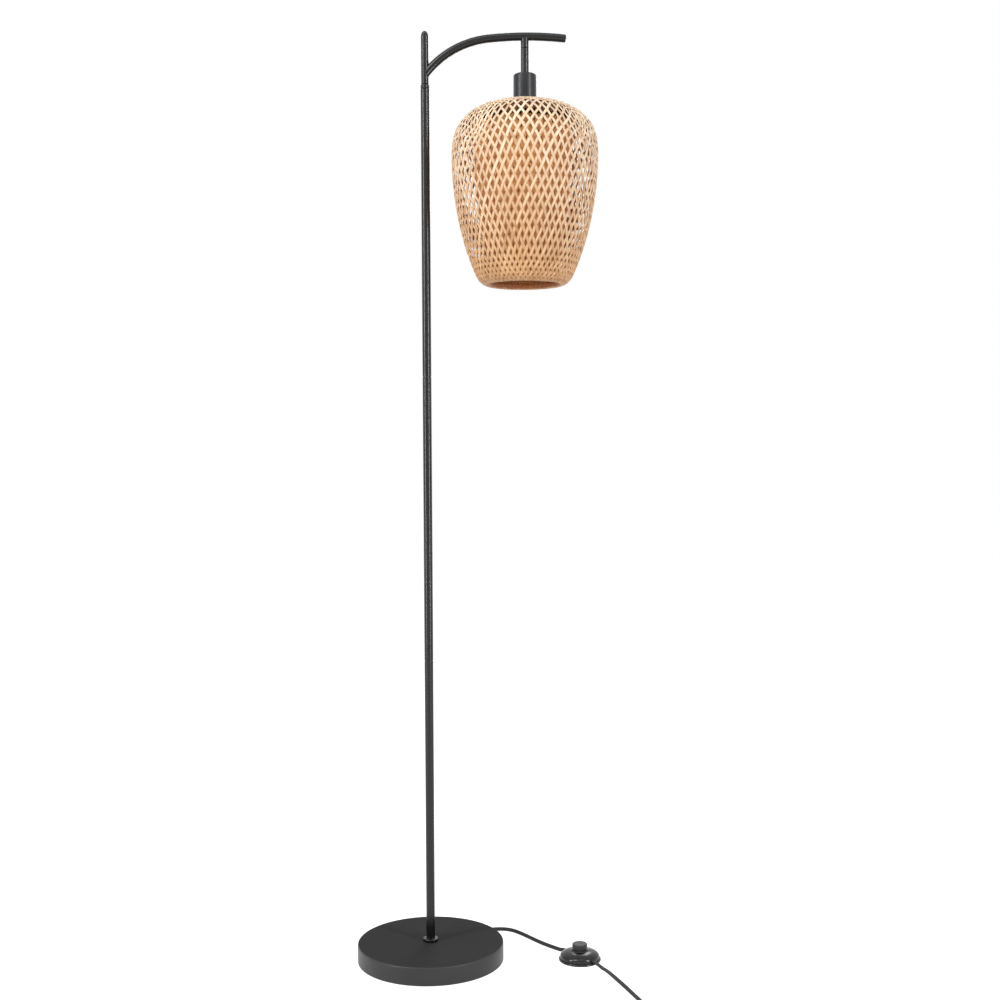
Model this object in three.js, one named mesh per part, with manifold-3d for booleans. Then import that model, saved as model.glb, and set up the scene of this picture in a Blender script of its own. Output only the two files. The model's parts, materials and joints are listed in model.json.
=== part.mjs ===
// A floor lamp: a weighted round base, a straight pole of three lengths, a bent arm, and a woven
// bamboo shade that hangs from it. A flat cord with a foot switch runs from the base to its plug.
// Millimetres, +Z up. The origin is on the floor, under the pole. The arm reaches along +X.
import * as THREE from "three";
import { mergeVertices } from "three/addons/utils/BufferGeometryUtils.js";
import Module from "manifold-3d";

// Clearances that the whole lamp shares
const seatGap = 0.3;
const cutOverrun = 2;

// Base: a pressed steel cover over a cast block, on a soft pad
const baseDiameter = 254;
const baseHeight = 32;
const baseEdgeRadius = 2.4;
const coverWall = 1.5;
const skirtLift = 1.2;
const padThickness = 2;
const padInset = 6.5;
const blockWebThickness = 10.2;
const blockWellDiameter = 36;
const blockGrooveWidth = 13.4;
const blockGrooveHeight = 12.8;
const collarDiameter = 26;
const collarHeight = 5.4;
const collarEdgeRadius = 1.4;

// Threaded hollow nipples, and the nuts that hold them
const nippleDiameter = 9.8;
const nippleBore = 7;
const baseNippleRise = 28;
const baseNippleDrop = 9;
const washerDiameter = 30;
const washerThickness = 1.6;
const nutAcrossFlats = 16;
const nutThickness = 5;

// Pole: three lengths of tube joined by threaded couplings
const poleDiameter = 15.2;
const poleWall = 1.2;
const poleSectionLength = 491.4;
const footBushLength = 25;
const couplingLength = 50;
const couplingBore = 8.4;
const ferruleHeight = 7.5;
const ferruleBandHeight = 1.2;
const ferruleGrooveDepth = 0.9;
const ferruleShoulderRadius = 2.2;
const ferruleLowerSpigot = 18;
const ferruleUpperSpigot = 7;

// Stem above the pole, with its screwed-in finial
const stemDiameter = 13.1;
const stemWall = 1.2;
const stemLength = 82.6;
const finialDiameter = 12.3;
const finialHeight = 7.9;
const finialPlugLength = 10;

// Arm: one bend that leaves the stem, running out into a long flat crown
const armDiameter = 14;
const armWall = 1.2;
const armJointHeight = 16.3;
const armBendRadius = 160;
const armCrownRadius = 624;
const armReach = 240.5;
const armStartAngle = THREE.MathUtils.degToRad(53);
const armBlendAngle = THREE.MathUtils.degToRad(6.8);
const armCapThickness = 2.6;
const armCapPlugLength = 9;
const leadHoleDiameter = 8.6;

// Drop: a stub welded under the arm, a nipple, and the rod that carries the socket cup
const dropOffset = 171.6;
const dropDiameter = 13.8;
const dropBore = 10.4;
const stubReach = 20.2;
const dropRodLength = 43.8;
const stubNippleLength = 26;
const cupNippleLength = 40;
const cupNippleDrop = 16;

// Socket cup and lampholder
const cupDiameter = 40.1;
const cupTopDiameter = 39.4;
const cupHeight = 47.5;
const cupWall = 1.2;
const cupEdgeRadius = 3.4;
const socketCapDiameter = 34;
const socketCapHeight = 21;
const socketCapWall = 2;
const socketDiameter = 39;
const socketShoulderDiameter = 34;
const socketShoulderHeight = 20.6;
const socketLength = 81.7;
const socketWall = 4.3;
const socketFloorDepth = 53;
const socketFloorThickness = 4;
const blockThickness = 9.2;
const shellLength = 36;
const shellDiameter = 28.4;
const shellWall = 0.6;
const contactWidth = 6;
const contactLength = 15;
const contactThickness = 0.6;
const contactDrop = 3.4;
const fitterDiameter = 66;
const fitterThickness = 1.2;
const ringDiameter = 52;
const ringThickness = 7.5;
const ringNotchDepth = 1.1;

// Bulb
const bulbCapDiameter = 26.2;
const bulbCapLength = 26;
const bulbCapWall = 0.6;
const bulbTipLength = 2.4;
const bulbTipDiameter = 9.5;
const bulbNeckDiameter = 23;
const bulbDiameter = 64;
const bulbLength = 141.5;
const bulbNeckInCap = 11;
const bulbNeckLength = 12;
const bulbSwellTop = 30;
const bulbSwellFoot = 34;
const bulbWall = 1;
const bulbMountDiameter = 5;
const bulbMountLength = 62;
const bulbMountFlareLength = 14;

// Shade: an outer basket that rolls under into a throat, and a liner that stands in the throat
const shadeHeight = 312.9;
const shadeDiameter = 253;
const shadeCrownHeight = 95.3;
const shadeBellyDepth = 287.3;
const crownMatDiameter = 161;
const shadeWall = 2.4;
const strandWidthShare = 0.2;
const throatDiameter = 115;
const rimStartHeight = 14.4;
const rimCurl = 14;
const rimDip = 9.6;
const rimLipHeight = 10.8;
const linerTopHeight = 274.6;
const linerTopDiameter = 158;
const linerSwell = 2.6;
const linerFlare = 7.6;
const linerSwellShares = [0.55, 0.2];
const crownFullness = 2.71;
const bellyFullness = 1.82;

// Foot switch: a flange plate, a domed cover, and a push button over a spring
const switchX = 259.2;
const switchY = -21.4;
const flangeDiameter = 73.4;
const flangeThickness = 4;
const switchDomeDiameter = 68;
const switchDomeHeight = 15;
const switchDomeSideHeight = 3.6;
const switchDomeFullness = 2.5;
const switchCollarWidth = 2.6;
const switchWall = 2;
const buttonDiameter = 26.1;
const buttonNeckDiameter = 22.4;
const buttonTopHeight = 28.9;
const buttonEdgeRadius = 1.6;
const buttonTravel = 3;
const buttonFlangeDiameter = 26.8;
const buttonFlangeThickness = 2.2;
const buttonBodyDiameter = 18;
const buttonBottomHeight = 8.4;
const buttonRunningGap = 0.4;
const springWireDiameter = 0.9;
const springDiameter = 9.6;
const springSeatDepth = 12;
const springCurls = 6;
const bossDiameter = 6.8;
const bossOffset = 24;
const screwDiameter = 2.9;
const screwHeadDiameter = 5.6;
const screwHeadThickness = 1.7;
const screwLength = 10.5;
const contactPadLength = 13;
const contactPadWidth = 6;
const contactPadHeight = 4.2;
const contactPadOffset = 16.5;

// Flat twin cord, its relief at the base, its coil, tie and plug
const cordWidth = 5.6;
const cordThickness = 2.9;
const cordFloorGap = 0.05;
const leadDiameter = 4.2;
const leadBendRadius = 8;
const leadStemBendRadius = 20;
const leadDropBendRadius = 9;
const reliefHeight = 6.2;
const reliefInnerLength = 4;
const reliefOuterLength = 17;
const reliefNeckDiameter = 8.4;
const reliefShoulderDiameter = 10;
const reliefShoulderThickness = 2;
const reliefTipDiameter = 6.9;
const coilMeanDiameter = 64.4;
const coilTurns = 6.25;
const climbTurns = 0.5;
const coilGap = 0.6;
const coilLeadLength = 48;
const coilTailLength = 46;
const coilTwistShare = 0.8;
const cordEdgeShare = 0.35;
const tieThickness = 0.6;
const tieWidth = 5;
const tieClearance = 0.35;
const plugLength = 31;
const plugWidth = 23;
const plugHeight = 14.8;
const plugTailWidth = 11;
const plugTailHeight = 8.6;
const plugCornerShare = 0.4;
const plugLengthShares = [0, 0.16, 0.22, 0.34, 0.46, 0.8, 1];
const plugSwellShares = [0, 0.2, 0.2, 0.75, 1, 0.94, 0.94];
const bladeLength = 17.5;
const bladeSpacing = 12.7;
const bladeThickness = 1.5;
const bladeWidth = 6.35;
const bladeWideWidth = 7.9;
const bladeRoot = 6;
const bladeHoleDiameter = 3.2;
const bladeHoleInset = 5.5;

// How many flats each round form has
const baseSides = 44;
const latticeColumns = 18;
const shadeSides = 2 * latticeColumns;
const shoulderRows = 2;
const bellyRows = 5;
const linerSides = 32;
const bulbSides = 16;
const tubeSides = 16;
const cupSides = 24;
const switchSides = 24;
const smallSides = 12;
const cordSides = 8;
const leadSides = 6;
const armBendSteps = 10;
const armCrownSteps = 4;

// Directions seen from above, measured from +X
const cordExitAngle = THREE.MathUtils.degToRad(52);
const switchCordAngle = THREE.MathUtils.degToRad(-54);
const coilEntryAngle = THREE.MathUtils.degToRad(-76);
const halfTurn = Math.PI;
const fullTurn = 2 * Math.PI;

// Heights worked out from the sizes above
const baseTop = baseHeight;
const poleFoot = baseTop + seatGap;
const poleJoint1 = poleFoot + poleSectionLength;
const poleJoint2 = poleJoint1 + seatGap + poleSectionLength;
const poleTop = poleJoint2 + seatGap + poleSectionLength;
const ferruleTop = poleTop + seatGap + ferruleHeight;
const stemFoot = ferruleTop + seatGap;
const stemTop = stemFoot + stemLength;
const finialSeat = stemTop + seatGap;
const armStart = stemFoot + armJointHeight;

// Materials, coloured as the lamp is
function finish(color, roughness, metalness) {
  return new THREE.MeshStandardMaterial({ color, roughness, metalness });
}
const blackPaint = finish(0x2e2e30, 0.42, 0.3);
const cupPaint = finish(0x34363c, 0.38, 0.35);
const blockCement = finish(0x8e8b85, 0.9, 0);
const padFoam = finish(0x1c1c1c, 0.95, 0);
const zincSteel = finish(0xa9abae, 0.35, 0.9);
const brassMetal = finish(0xc9a24a, 0.3, 0.95);
const blackMoulding = finish(0x26262a, 0.3, 0);
const cordJacket = finish(0x2c2c2e, 0.55, 0);
const bambooSkin = finish(0xe3bd8c, 0.6, 0);
const bambooInner = finish(0xb97f46, 0.7, 0);
const ceramicWhite = finish(0xe9e6dd, 0.5, 0);
const bulbGlassFinish = finish(0xf2efe6, 0.08, 0);

// Geometry helpers

// Merges equal vertices, and turns the faces out if the surface encloses a negative volume.
function closed(geometry) {
  const bare = geometry.index ? geometry.clone() : mergeVertices(geometry.clone());
  bare.deleteAttribute("normal");
  bare.deleteAttribute("uv");
  const merged = mergeVertices(bare);
  const position = merged.attributes.position;
  const faces = [];
  const a = new THREE.Vector3();
  const b = new THREE.Vector3();
  const c = new THREE.Vector3();
  let volume = 0;
  for (let i = 0; i < merged.index.count; i += 3) {
    const [i0, i1, i2] = [0, 1, 2].map((k) => merged.index.getX(i + k));
    if (i0 === i1 || i1 === i2 || i2 === i0) continue;
    a.fromBufferAttribute(position, i0);
    b.fromBufferAttribute(position, i1);
    c.fromBufferAttribute(position, i2);
    volume += a.dot(b.cross(c));
    faces.push([i0, i1, i2]);
  }
  const turned = volume < 0 ? faces.map(([i, j, k]) => [i, k, j]) : faces;
  merged.setIndex(turned.flat());
  merged.computeVertexNormals();
  return merged;
}

function toSolid(geometry) {
  const shape = closed(geometry);
  return new wasm.Manifold(
    new wasm.Mesh({
      numProp: 3,
      vertProperties: new Float32Array(shape.attributes.position.array),
      triVerts: new Uint32Array(shape.index.array),
    }),
  );
}

function toGeometry(solid) {
  const mesh = solid.getMesh();
  const geometry = new THREE.BufferGeometry();
  geometry.setAttribute("position", new THREE.BufferAttribute(mesh.vertProperties, 3));
  geometry.setIndex(new THREE.BufferAttribute(mesh.triVerts, 1));
  geometry.computeVertexNormals();
  return geometry;
}

function cut(geometry, ...tools) {
  return toGeometry(tools.reduce((left, tool) => left.subtract(toSolid(tool)), toSolid(geometry)));
}

// Turns a profile of [radius, height] pairs round the Z axis.
function revolve(profile, sides) {
  const points = profile.map(([radius, height]) => new THREE.Vector2(radius, height));
  return closed(new THREE.LatheGeometry(points, sides).rotateX(halfTurn / 2));
}

function disc(radius, low, high, sides = smallSides) {
  return revolve([[0, low], [radius, low], [radius, high], [0, high]], sides);
}

function pipe(outer, inner, low, high, sides = tubeSides) {
  return revolve([[inner, low], [outer, low], [outer, high], [inner, high], [inner, low]], sides);
}

// A quarter circle as [radius, height] pairs, from one angle to another about its centre.
function arc(centreRadius, centreHeight, radius, from, to, steps = 4) {
  return Array.from({ length: steps + 1 }, (_, i) => {
    const angle = from + ((to - from) * i) / steps;
    return [centreRadius + radius * Math.cos(angle), centreHeight + radius * Math.sin(angle)];
  });
}

function circle(radius, sides) {
  const shape = new THREE.Shape();
  for (let i = 0; i < sides; i += 1) {
    const angle = (fullTurn * i) / sides;
    const [x, y] = [radius * Math.cos(angle), radius * Math.sin(angle)];
    if (i === 0) shape.moveTo(x, y);
    else shape.lineTo(x, y);
  }
  shape.closePath();
  return shape;
}

function box(width, depth, height, x, y, z) {
  return new THREE.BoxGeometry(width, depth, height).translate(x, y, z);
}

function hexNut(acrossFlats, bore, low, high) {
  const outline = circle(acrossFlats / 2 / Math.cos(halfTurn / 6), 6);
  outline.holes.push(circle(bore / 2, smallSides));
  const depth = high - low;
  return closed(new THREE.ExtrudeGeometry(outline, { depth, bevelEnabled: false }).translate(0, 0, low));
}

// A path with one point for each ring of the tube that follows it.
class Stations extends THREE.Curve {
  constructor(points) {
    super();
    this.points = points;
  }

  getPoint(t, target = new THREE.Vector3()) {
    return target.copy(this.points[Math.round(t * (this.points.length - 1))]);
  }

  getPointAt(u, target) {
    return this.getPoint(u, target);
  }

  getTangentAt(u, target = new THREE.Vector3()) {
    const last = this.points.length - 1;
    const i = Math.round(u * last);
    const ahead = this.points[Math.min(i + 1, last)];
    const behind = this.points[Math.max(i - 1, 0)];
    return target.subVectors(ahead, behind).normalize();
  }
}

// The same path for a flat section, whose own X axis stays in the upright plane through the path.
class LyingStations extends Stations {
  computeFrenetFrames(segments) {
    const down = new THREE.Vector3(0, 0, -1);
    const tangents = Array.from({ length: segments + 1 }, (_, i) => this.getTangentAt(i / segments));
    const binormals = tangents.map((t) => new THREE.Vector3().crossVectors(t, down).normalize());
    const normals = tangents.map((t, i) => new THREE.Vector3().crossVectors(binormals[i], t));
    return { tangents, normals, binormals };
  }
}

// A tube of the given section that follows a path of stations.
function tubeAlong(path, section) {
  const options = { steps: path.points.length - 1, extrudePath: path, bevelEnabled: false };
  return closed(new THREE.ExtrudeGeometry(section, options));
}

// A closed skin over rings of points, each ring with as many points as the others.
function skin(rings) {
  const count = rings[0].length;
  const vertices = rings.flat().flatMap((p) => [p.x, p.y, p.z]);
  const index = [];
  for (let r = 0; r + 1 < rings.length; r += 1) {
    for (let i = 0; i < count; i += 1) {
      const next = (i + 1) % count;
      const [a, b] = [r * count + i, r * count + next];
      index.push(a, b, b + count, a, b + count, a + count);
    }
  }
  const last = (rings.length - 1) * count;
  for (let i = 1; i + 1 < count; i += 1) {
    index.push(0, i + 1, i, last, last + i, last + i + 1);
  }
  const geometry = new THREE.BufferGeometry();
  geometry.setAttribute("position", new THREE.Float32BufferAttribute(vertices, 3));
  geometry.setIndex(index);
  return closed(geometry);
}

// The same line moved inwards by a wall: to the left of the way that it runs.
function offsetLine(line, wall) {
  return line.map((point, i) => {
    const ahead = line[Math.min(i + 1, line.length - 1)];
    const behind = line[Math.max(i - 1, 0)];
    const heading = ahead.clone().sub(behind).normalize();
    return new THREE.Vector2(point.x + heading.y * wall, point.y - heading.x * wall);
  });
}

// A wall's inner line, whose two ends are cut level where it runs upright, and upright where it lies.
function innerLine(line, wall) {
  const inner = offsetLine(line, wall);
  [0, -1].forEach((end) => {
    const [from, to] = [line.at(end), inner.at(end)];
    if (Math.abs(to.x - from.x) > Math.abs(to.y - from.y)) to.y = from.y;
    else to.x = from.x;
  });
  return inner;
}

function shellOf(line, wall, sides) {
  const profile = [...line, ...innerLine(line, wall).reverse(), line[0]].map((p) => [p.x, p.y]);
  return revolve(profile, sides);
}

// A closed body from faces on an outer skin, the like ones on an inner skin, and a wall on each open edge.
function thickened(outer, inner, faces) {
  const edges = faces.flatMap((face) => face.map((from, i) => [from, face[(i + 1) % face.length]]));
  const known = new Set(edges.map(([from, to]) => `${from} ${to}`));
  const open = edges.filter(([from, to]) => !known.has(`${to} ${from}`));
  const behind = outer.length;
  const all = [
    ...faces,
    ...faces.map(([first, ...rest]) => [first, ...rest.reverse()].map((k) => k + behind)),
    ...open.map(([from, to]) => [to, from, from + behind, to + behind]),
  ];
  const geometry = new THREE.BufferGeometry().setFromPoints([...outer, ...inner]);
  geometry.setIndex(all.flatMap((face) => face.slice(1, -1).flatMap((k, i) => [face[0], k, face[i + 2]])));
  return closed(geometry);
}

// A line's point at a share of the length of its guide, a line with as many points.
function pointAt(line, guide, share) {
  const steps = guide.slice(1).map((point, i) => point.distanceTo(guide[i]));
  let left = share * steps.reduce((sum, step) => sum + step, 0);
  let i = 0;
  while (i < steps.length - 1 && left > steps[i]) {
    left -= steps[i];
    i += 1;
  }
  return line[i].clone().lerp(line[i + 1], Math.min(1, left / steps[i]));
}

// An openwork wall: broad strands cross by rows on a turned line, with an opening between four crossings.
function latticeOf(line, wall, columns, rows) {
  const inner = innerLine(line, wall);
  const cornerShares = [[-1, 0], [0, 1], [1, 0], [0, -1]].map(([aside, down]) => {
    return [aside * strandWidthShare, 2 * down * strandWidthShare];
  });
  const [left, low, right, high] = cornerShares.keys();
  const skins = [[], []];
  const faces = [];
  const corner = (i, j, k) => cornerShares.length * (j * columns + ((i + columns) % columns)) + k;
  for (let j = 0; j <= rows; j += 1) {
    const shifted = j % 2;
    for (let i = 0; i < columns; i += 1) {
      cornerShares.forEach(([aside, down]) => {
        const angle = ((i + shifted / 2 + aside) * 2 * halfTurn) / columns;
        const share = Math.min(1, Math.max(0, (j + down) / rows));
        [line, inner].forEach((skin, side) => {
          const { x, y } = pointAt(skin, line, share);
          skins[side].push(new THREE.Vector3(x * Math.cos(angle), x * Math.sin(angle), y));
        });
      });
      const missing = [j === 0 ? high : null, j === rows ? low : null];
      faces.push([left, low, right, high].filter((k) => !missing.includes(k)).map((k) => corner(i, j, k)));
      if (j === rows) continue;
      const [leftward, rightward] = [i - 1 + shifted, i + shifted];
      const toRight = [corner(rightward, j + 1, left), corner(rightward, j + 1, high)];
      const toLeft = [corner(leftward, j + 1, high), corner(leftward, j + 1, right)];
      faces.push([corner(i, j, low), ...toRight, corner(i, j, right)]);
      faces.push([corner(i, j, left), ...toLeft, corner(i, j, low)]);
    }
  }
  return thickened(...skins, faces);
}

const wasm = await Module();
wasm.setup();

const lamp = new THREE.Group();

function group(x = 0, y = 0, z = 0) {
  const made = new THREE.Group();
  made.position.set(x, y, z);
  lamp.add(made);
  return made;
}

function add(parent, name, geometry, material) {
  const mesh = new THREE.Mesh(geometry, material);
  mesh.name = name;
  parent.add(mesh);
  return mesh;
}

// Base

const baseRadius = baseDiameter / 2;
const coverInner = baseRadius - coverWall;
const nippleRadius = nippleDiameter / 2;
const nippleHole = nippleRadius + seatGap;
const coverUnderside = baseTop - coverWall;
const blockTop = coverUnderside - seatGap;
const blockBottom = padThickness + seatGap;
const reliefNeckRadius = reliefNeckDiameter / 2;

// A point at a distance from the pole, in the direction that the cord leaves the base.
function towardsCordExit(distance, height) {
  const [x, y] = [distance * Math.cos(cordExitAngle), distance * Math.sin(cordExitAngle)];
  return new THREE.Vector3(x, y, height);
}

// A box that starts on the pole's axis and runs out in the direction that the cord leaves the base.
function exitSlot(length, width, low, high) {
  const slot = box(length, width, high - low, length / 2, 0, (low + high) / 2);
  return slot.rotateZ(cordExitAngle);
}

function makeCover() {
  const innerEdge = baseEdgeRadius - coverWall / 2;
  const shell = revolve(
    [
      [nippleHole, coverUnderside],
      ...arc(coverInner - innerEdge, coverUnderside - innerEdge, innerEdge, halfTurn / 2, 0, 1),
      [coverInner, skirtLift],
      [baseRadius, skirtLift],
      ...arc(baseRadius - baseEdgeRadius, baseTop - baseEdgeRadius, baseEdgeRadius, 0, halfTurn / 2, 3),
      [nippleHole, baseTop],
      [nippleHole, coverUnderside],
    ],
    baseSides,
  );
  const holeRadius = reliefNeckRadius + seatGap;
  const wallLength = coverWall + 2 * cutOverrun;
  const hole = new THREE.CylinderGeometry(holeRadius, holeRadius, wallLength, smallSides)
    .rotateZ(halfTurn / 2)
    .translate(baseRadius - coverWall / 2, 0, reliefHeight);
  const slotHeight = reliefHeight - skirtLift + cutOverrun;
  const slotMiddle = reliefHeight - slotHeight / 2;
  const slot = box(wallLength, 2 * holeRadius, slotHeight, baseRadius - coverWall / 2, 0, slotMiddle);
  return cut(shell, hole.rotateZ(cordExitAngle), slot.rotateZ(cordExitAngle));
}

function makeBlock() {
  const radius = coverInner - seatGap;
  const chamfer = baseEdgeRadius;
  const wellRadius = blockWellDiameter / 2;
  const webUnderside = blockTop - blockWebThickness;
  const body = revolve(
    [
      [nippleHole, webUnderside],
      [wellRadius, webUnderside],
      [wellRadius, blockBottom],
      [radius, blockBottom],
      [radius, blockTop - chamfer],
      [radius - chamfer, blockTop],
      [nippleHole, blockTop],
      [nippleHole, webUnderside],
    ],
    baseSides,
  );
  const grooveLow = blockBottom - cutOverrun;
  return cut(body, exitSlot(baseRadius + cutOverrun, blockGrooveWidth, grooveLow, blockGrooveHeight));
}

const base = group();
const webUnderside = blockTop - blockWebThickness;
const washerTop = webUnderside - seatGap;
const nutTop = washerTop - washerThickness - seatGap;
const nutBottom = nutTop - nutThickness;
const poleBore = poleDiameter / 2 - poleWall;
const nippleTop = poleFoot + baseNippleRise;
add(base, "base_cover", makeCover(), blackPaint);
add(base, "base_weight", makeBlock(), blockCement);
add(base, "base_pad", disc(baseRadius - padInset, 0, padThickness, baseSides), padFoam);
const baseWasher = pipe(washerDiameter / 2, nippleHole, washerTop - washerThickness, washerTop);
const baseNipple = pipe(nippleRadius, nippleBore / 2, webUnderside - baseNippleDrop, nippleTop);
add(base, "base_washer", baseWasher, zincSteel);
add(base, "base_nut", hexNut(nutAcrossFlats, 2 * nippleHole, nutBottom, nutTop), zincSteel);
add(base, "base_nipple", baseNipple, zincSteel);

function makeCollar() {
  const outer = collarDiameter / 2;
  const inner = poleDiameter / 2 + seatGap;
  const foot = baseTop + seatGap;
  const top = foot + collarHeight;
  const rounded = arc(outer - collarEdgeRadius, top - collarEdgeRadius, collarEdgeRadius, 0, halfTurn / 2);
  return revolve([[inner, foot], [outer, foot], ...rounded, [inner, top], [inner, foot]], tubeSides);
}
add(base, "base_collar", makeCollar(), blackPaint);

// How far out the relief's lip can reach before its corners meet the flats inside the cover
const coverInnerFlat = coverInner * Math.cos(halfTurn / baseSides);
const reliefInside = Math.sqrt(coverInnerFlat ** 2 - (reliefShoulderDiameter / 2) ** 2) - seatGap;

// A moulded relief: a lip inside the cover, a neck in its slot, a shoulder and a taper outside.
function makeRelief() {
  const lip = reliefShoulderDiameter / 2;
  const inside = reliefInside;
  const outside = baseRadius + seatGap;
  const innerEnd = inside - reliefInnerLength;
  const shoulderEnd = outside + reliefShoulderThickness;
  const profile = [
    [0, innerEnd],
    [reliefNeckRadius, innerEnd],
    [reliefNeckRadius, inside - reliefShoulderThickness],
    [lip, inside - reliefShoulderThickness],
    [lip, inside],
    [reliefNeckRadius, inside],
    [reliefNeckRadius, outside],
    [lip, outside],
    [lip, shoulderEnd],
    [reliefNeckRadius, shoulderEnd + seatGap],
    [reliefTipDiameter / 2, baseRadius + reliefOuterLength],
    [0, baseRadius + reliefOuterLength],
  ];
  return revolve(profile, smallSides).rotateY(halfTurn / 2).rotateZ(cordExitAngle);
}
const relief = group(0, 0, reliefHeight);
add(relief, "strain_relief", makeRelief(), blackMoulding);

// Pole

const pole = group();
const poleRadius = poleDiameter / 2;
const sleeveRadius = poleBore - seatGap;
const footBushLow = poleFoot + cutOverrun;
const ferruleFoot = poleTop + seatGap;
add(pole, "pole_lower", pipe(poleRadius, poleBore, poleFoot, poleJoint1), blackPaint);
add(pole, "pole_middle", pipe(poleRadius, poleBore, poleJoint1 + seatGap, poleJoint2), blackPaint);
add(pole, "pole_upper", pipe(poleRadius, poleBore, poleJoint2 + seatGap, poleTop), blackPaint);
const footBush = pipe(sleeveRadius, nippleHole, footBushLow, footBushLow + footBushLength);
add(pole, "pole_foot_bush", footBush, zincSteel);
[poleJoint1, poleJoint2].forEach((joint, i) => {
  const low = joint + (seatGap - couplingLength) / 2;
  const name = ["pole_coupling_lower", "pole_coupling_upper"][i];
  add(pole, name, pipe(sleeveRadius, couplingBore / 2, low, low + couplingLength), zincSteel);
});

const stemRadius = stemDiameter / 2;
const stemBore = stemRadius - stemWall;
const stemSpigotRadius = stemBore - seatGap;

function makeFerrule() {
  const bore = couplingBore / 2;
  const bandTop = ferruleFoot + ferruleBandHeight;
  const shoulderLow = ferruleTop - ferruleShoulderRadius;
  const shoulderMiddle = poleRadius - ferruleShoulderRadius;
  const shoulder = arc(shoulderMiddle, shoulderLow, ferruleShoulderRadius, 0, halfTurn / 2);
  return revolve(
    [
      [bore, ferruleFoot - ferruleLowerSpigot],
      [sleeveRadius, ferruleFoot - ferruleLowerSpigot],
      [sleeveRadius, ferruleFoot],
      [poleRadius, ferruleFoot],
      [poleRadius - ferruleGrooveDepth, ferruleFoot + ferruleBandHeight / 2],
      [poleRadius, bandTop],
      ...shoulder,
      [stemSpigotRadius, ferruleTop],
      [stemSpigotRadius, ferruleTop + ferruleUpperSpigot],
      [bore, ferruleTop + ferruleUpperSpigot],
      [bore, ferruleFoot - ferruleLowerSpigot],
    ],
    tubeSides,
  );
}
add(pole, "pole_ferrule", makeFerrule(), blackPaint);

// Arm

// The arm's axis: its X and Z where it heads upwards by the given angle.
function armAxis(angle) {
  const inBend = Math.max(angle, armBlendAngle);
  const inCrown = Math.min(angle, armBlendAngle);
  const alongBend = armBendRadius * (Math.sin(armStartAngle) - Math.sin(inBend));
  const alongCrown = armCrownRadius * (Math.sin(armBlendAngle) - Math.sin(inCrown));
  const upBend = armBendRadius * (Math.cos(inBend) - Math.cos(armStartAngle));
  const upCrown = armCrownRadius * (Math.cos(inCrown) - Math.cos(armBlendAngle));
  return new THREE.Vector3(alongBend + alongCrown, 0, armStart + upBend + upCrown);
}

// The angle at which the arm heads upwards, at a distance out from the stem that lies on its crown.
function armAngleAt(x) {
  const bendReach = armBendRadius * (Math.sin(armStartAngle) - Math.sin(armBlendAngle));
  return Math.asin(Math.sin(armBlendAngle) - (x - bendReach) / armCrownRadius);
}

const armEndAngle = armAngleAt(armReach);
const armAngles = [
  ...Array.from({ length: armBendSteps }, (_, i) => {
    return armStartAngle + ((armBlendAngle - armStartAngle) * i) / armBendSteps;
  }),
  ...Array.from({ length: armCrownSteps + 1 }, (_, i) => {
    return armBlendAngle + ((armEndAngle - armBlendAngle) * i) / armCrownSteps;
  }),
];
const armPoints = armAngles.map(armAxis);
const armRadius = armDiameter / 2;
const armBore = armRadius - armWall;
const dropAxis = armAxis(armAngleAt(dropOffset));
const armAtDrop = dropAxis.z;

function uprightCylinder(radius, low, high, x, sides = smallSides) {
  return disc(radius, low, high, sides).translate(x, 0, 0);
}

function makeArm() {
  const section = circle(armRadius, tubeSides);
  section.holes.push(circle(armBore, tubeSides));
  const stemTool = uprightCylinder(stemRadius + seatGap, stemFoot, stemTop, 0, tubeSides);
  const holeLow = armAtDrop - armRadius - cutOverrun;
  const leadHole = uprightCylinder(leadHoleDiameter / 2, holeLow, armAtDrop, dropOffset);
  return cut(tubeAlong(new Stations(armPoints), section), stemTool, leadHole);
}

function makeStem() {
  const tube = pipe(stemRadius, stemBore, stemFoot, stemTop);
  const reach = stemDiameter;
  const hole = new THREE.CylinderGeometry(leadHoleDiameter / 2, leadHoleDiameter / 2, reach, smallSides)
    .rotateZ(-halfTurn / 2)
    .translate(reach / 2, 0, 0)
    .rotateY(-armStartAngle)
    .translate(0, 0, armStart);
  return cut(tube, hole);
}

function makeFinial() {
  const radius = finialDiameter / 2;
  const plug = stemBore - seatGap;
  const dome = Array.from({ length: 6 }, (_, i) => {
    const angle = (halfTurn / 2) * (i / 5);
    return [radius * Math.cos(angle), finialSeat + finialHeight * Math.sin(angle)];
  });
  dome[dome.length - 1][0] = 0;
  const plugFoot = finialSeat - finialPlugLength;
  return revolve([[0, plugFoot], [plug, plugFoot], [plug, finialSeat], ...dome], tubeSides);
}

// A plug with a domed face, made upright and then laid on the arm's end.
function makeArmCap() {
  const plug = armBore - seatGap;
  const face = Array.from({ length: 5 }, (_, i) => {
    const angle = (halfTurn / 2) * (i / 4);
    return [armRadius * Math.cos(angle), seatGap + armCapThickness * Math.sin(angle)];
  });
  face[face.length - 1][0] = 0;
  const profile = [[0, -armCapPlugLength], [plug, -armCapPlugLength], [plug, seatGap], ...face];
  return revolve(profile, tubeSides).rotateY(halfTurn / 2 - armEndAngle);
}

const arm = group();
add(arm, "stem_tube", makeStem(), blackPaint);
add(arm, "finial", makeFinial(), blackPaint);
add(arm, "arm_tube", makeArm(), blackPaint);
const armTip = armAxis(armEndAngle);
const armCap = add(arm, "arm_end_cap", makeArmCap(), blackPaint);
armCap.position.copy(armTip);

// Drop and socket cup, hung under the arm

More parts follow.
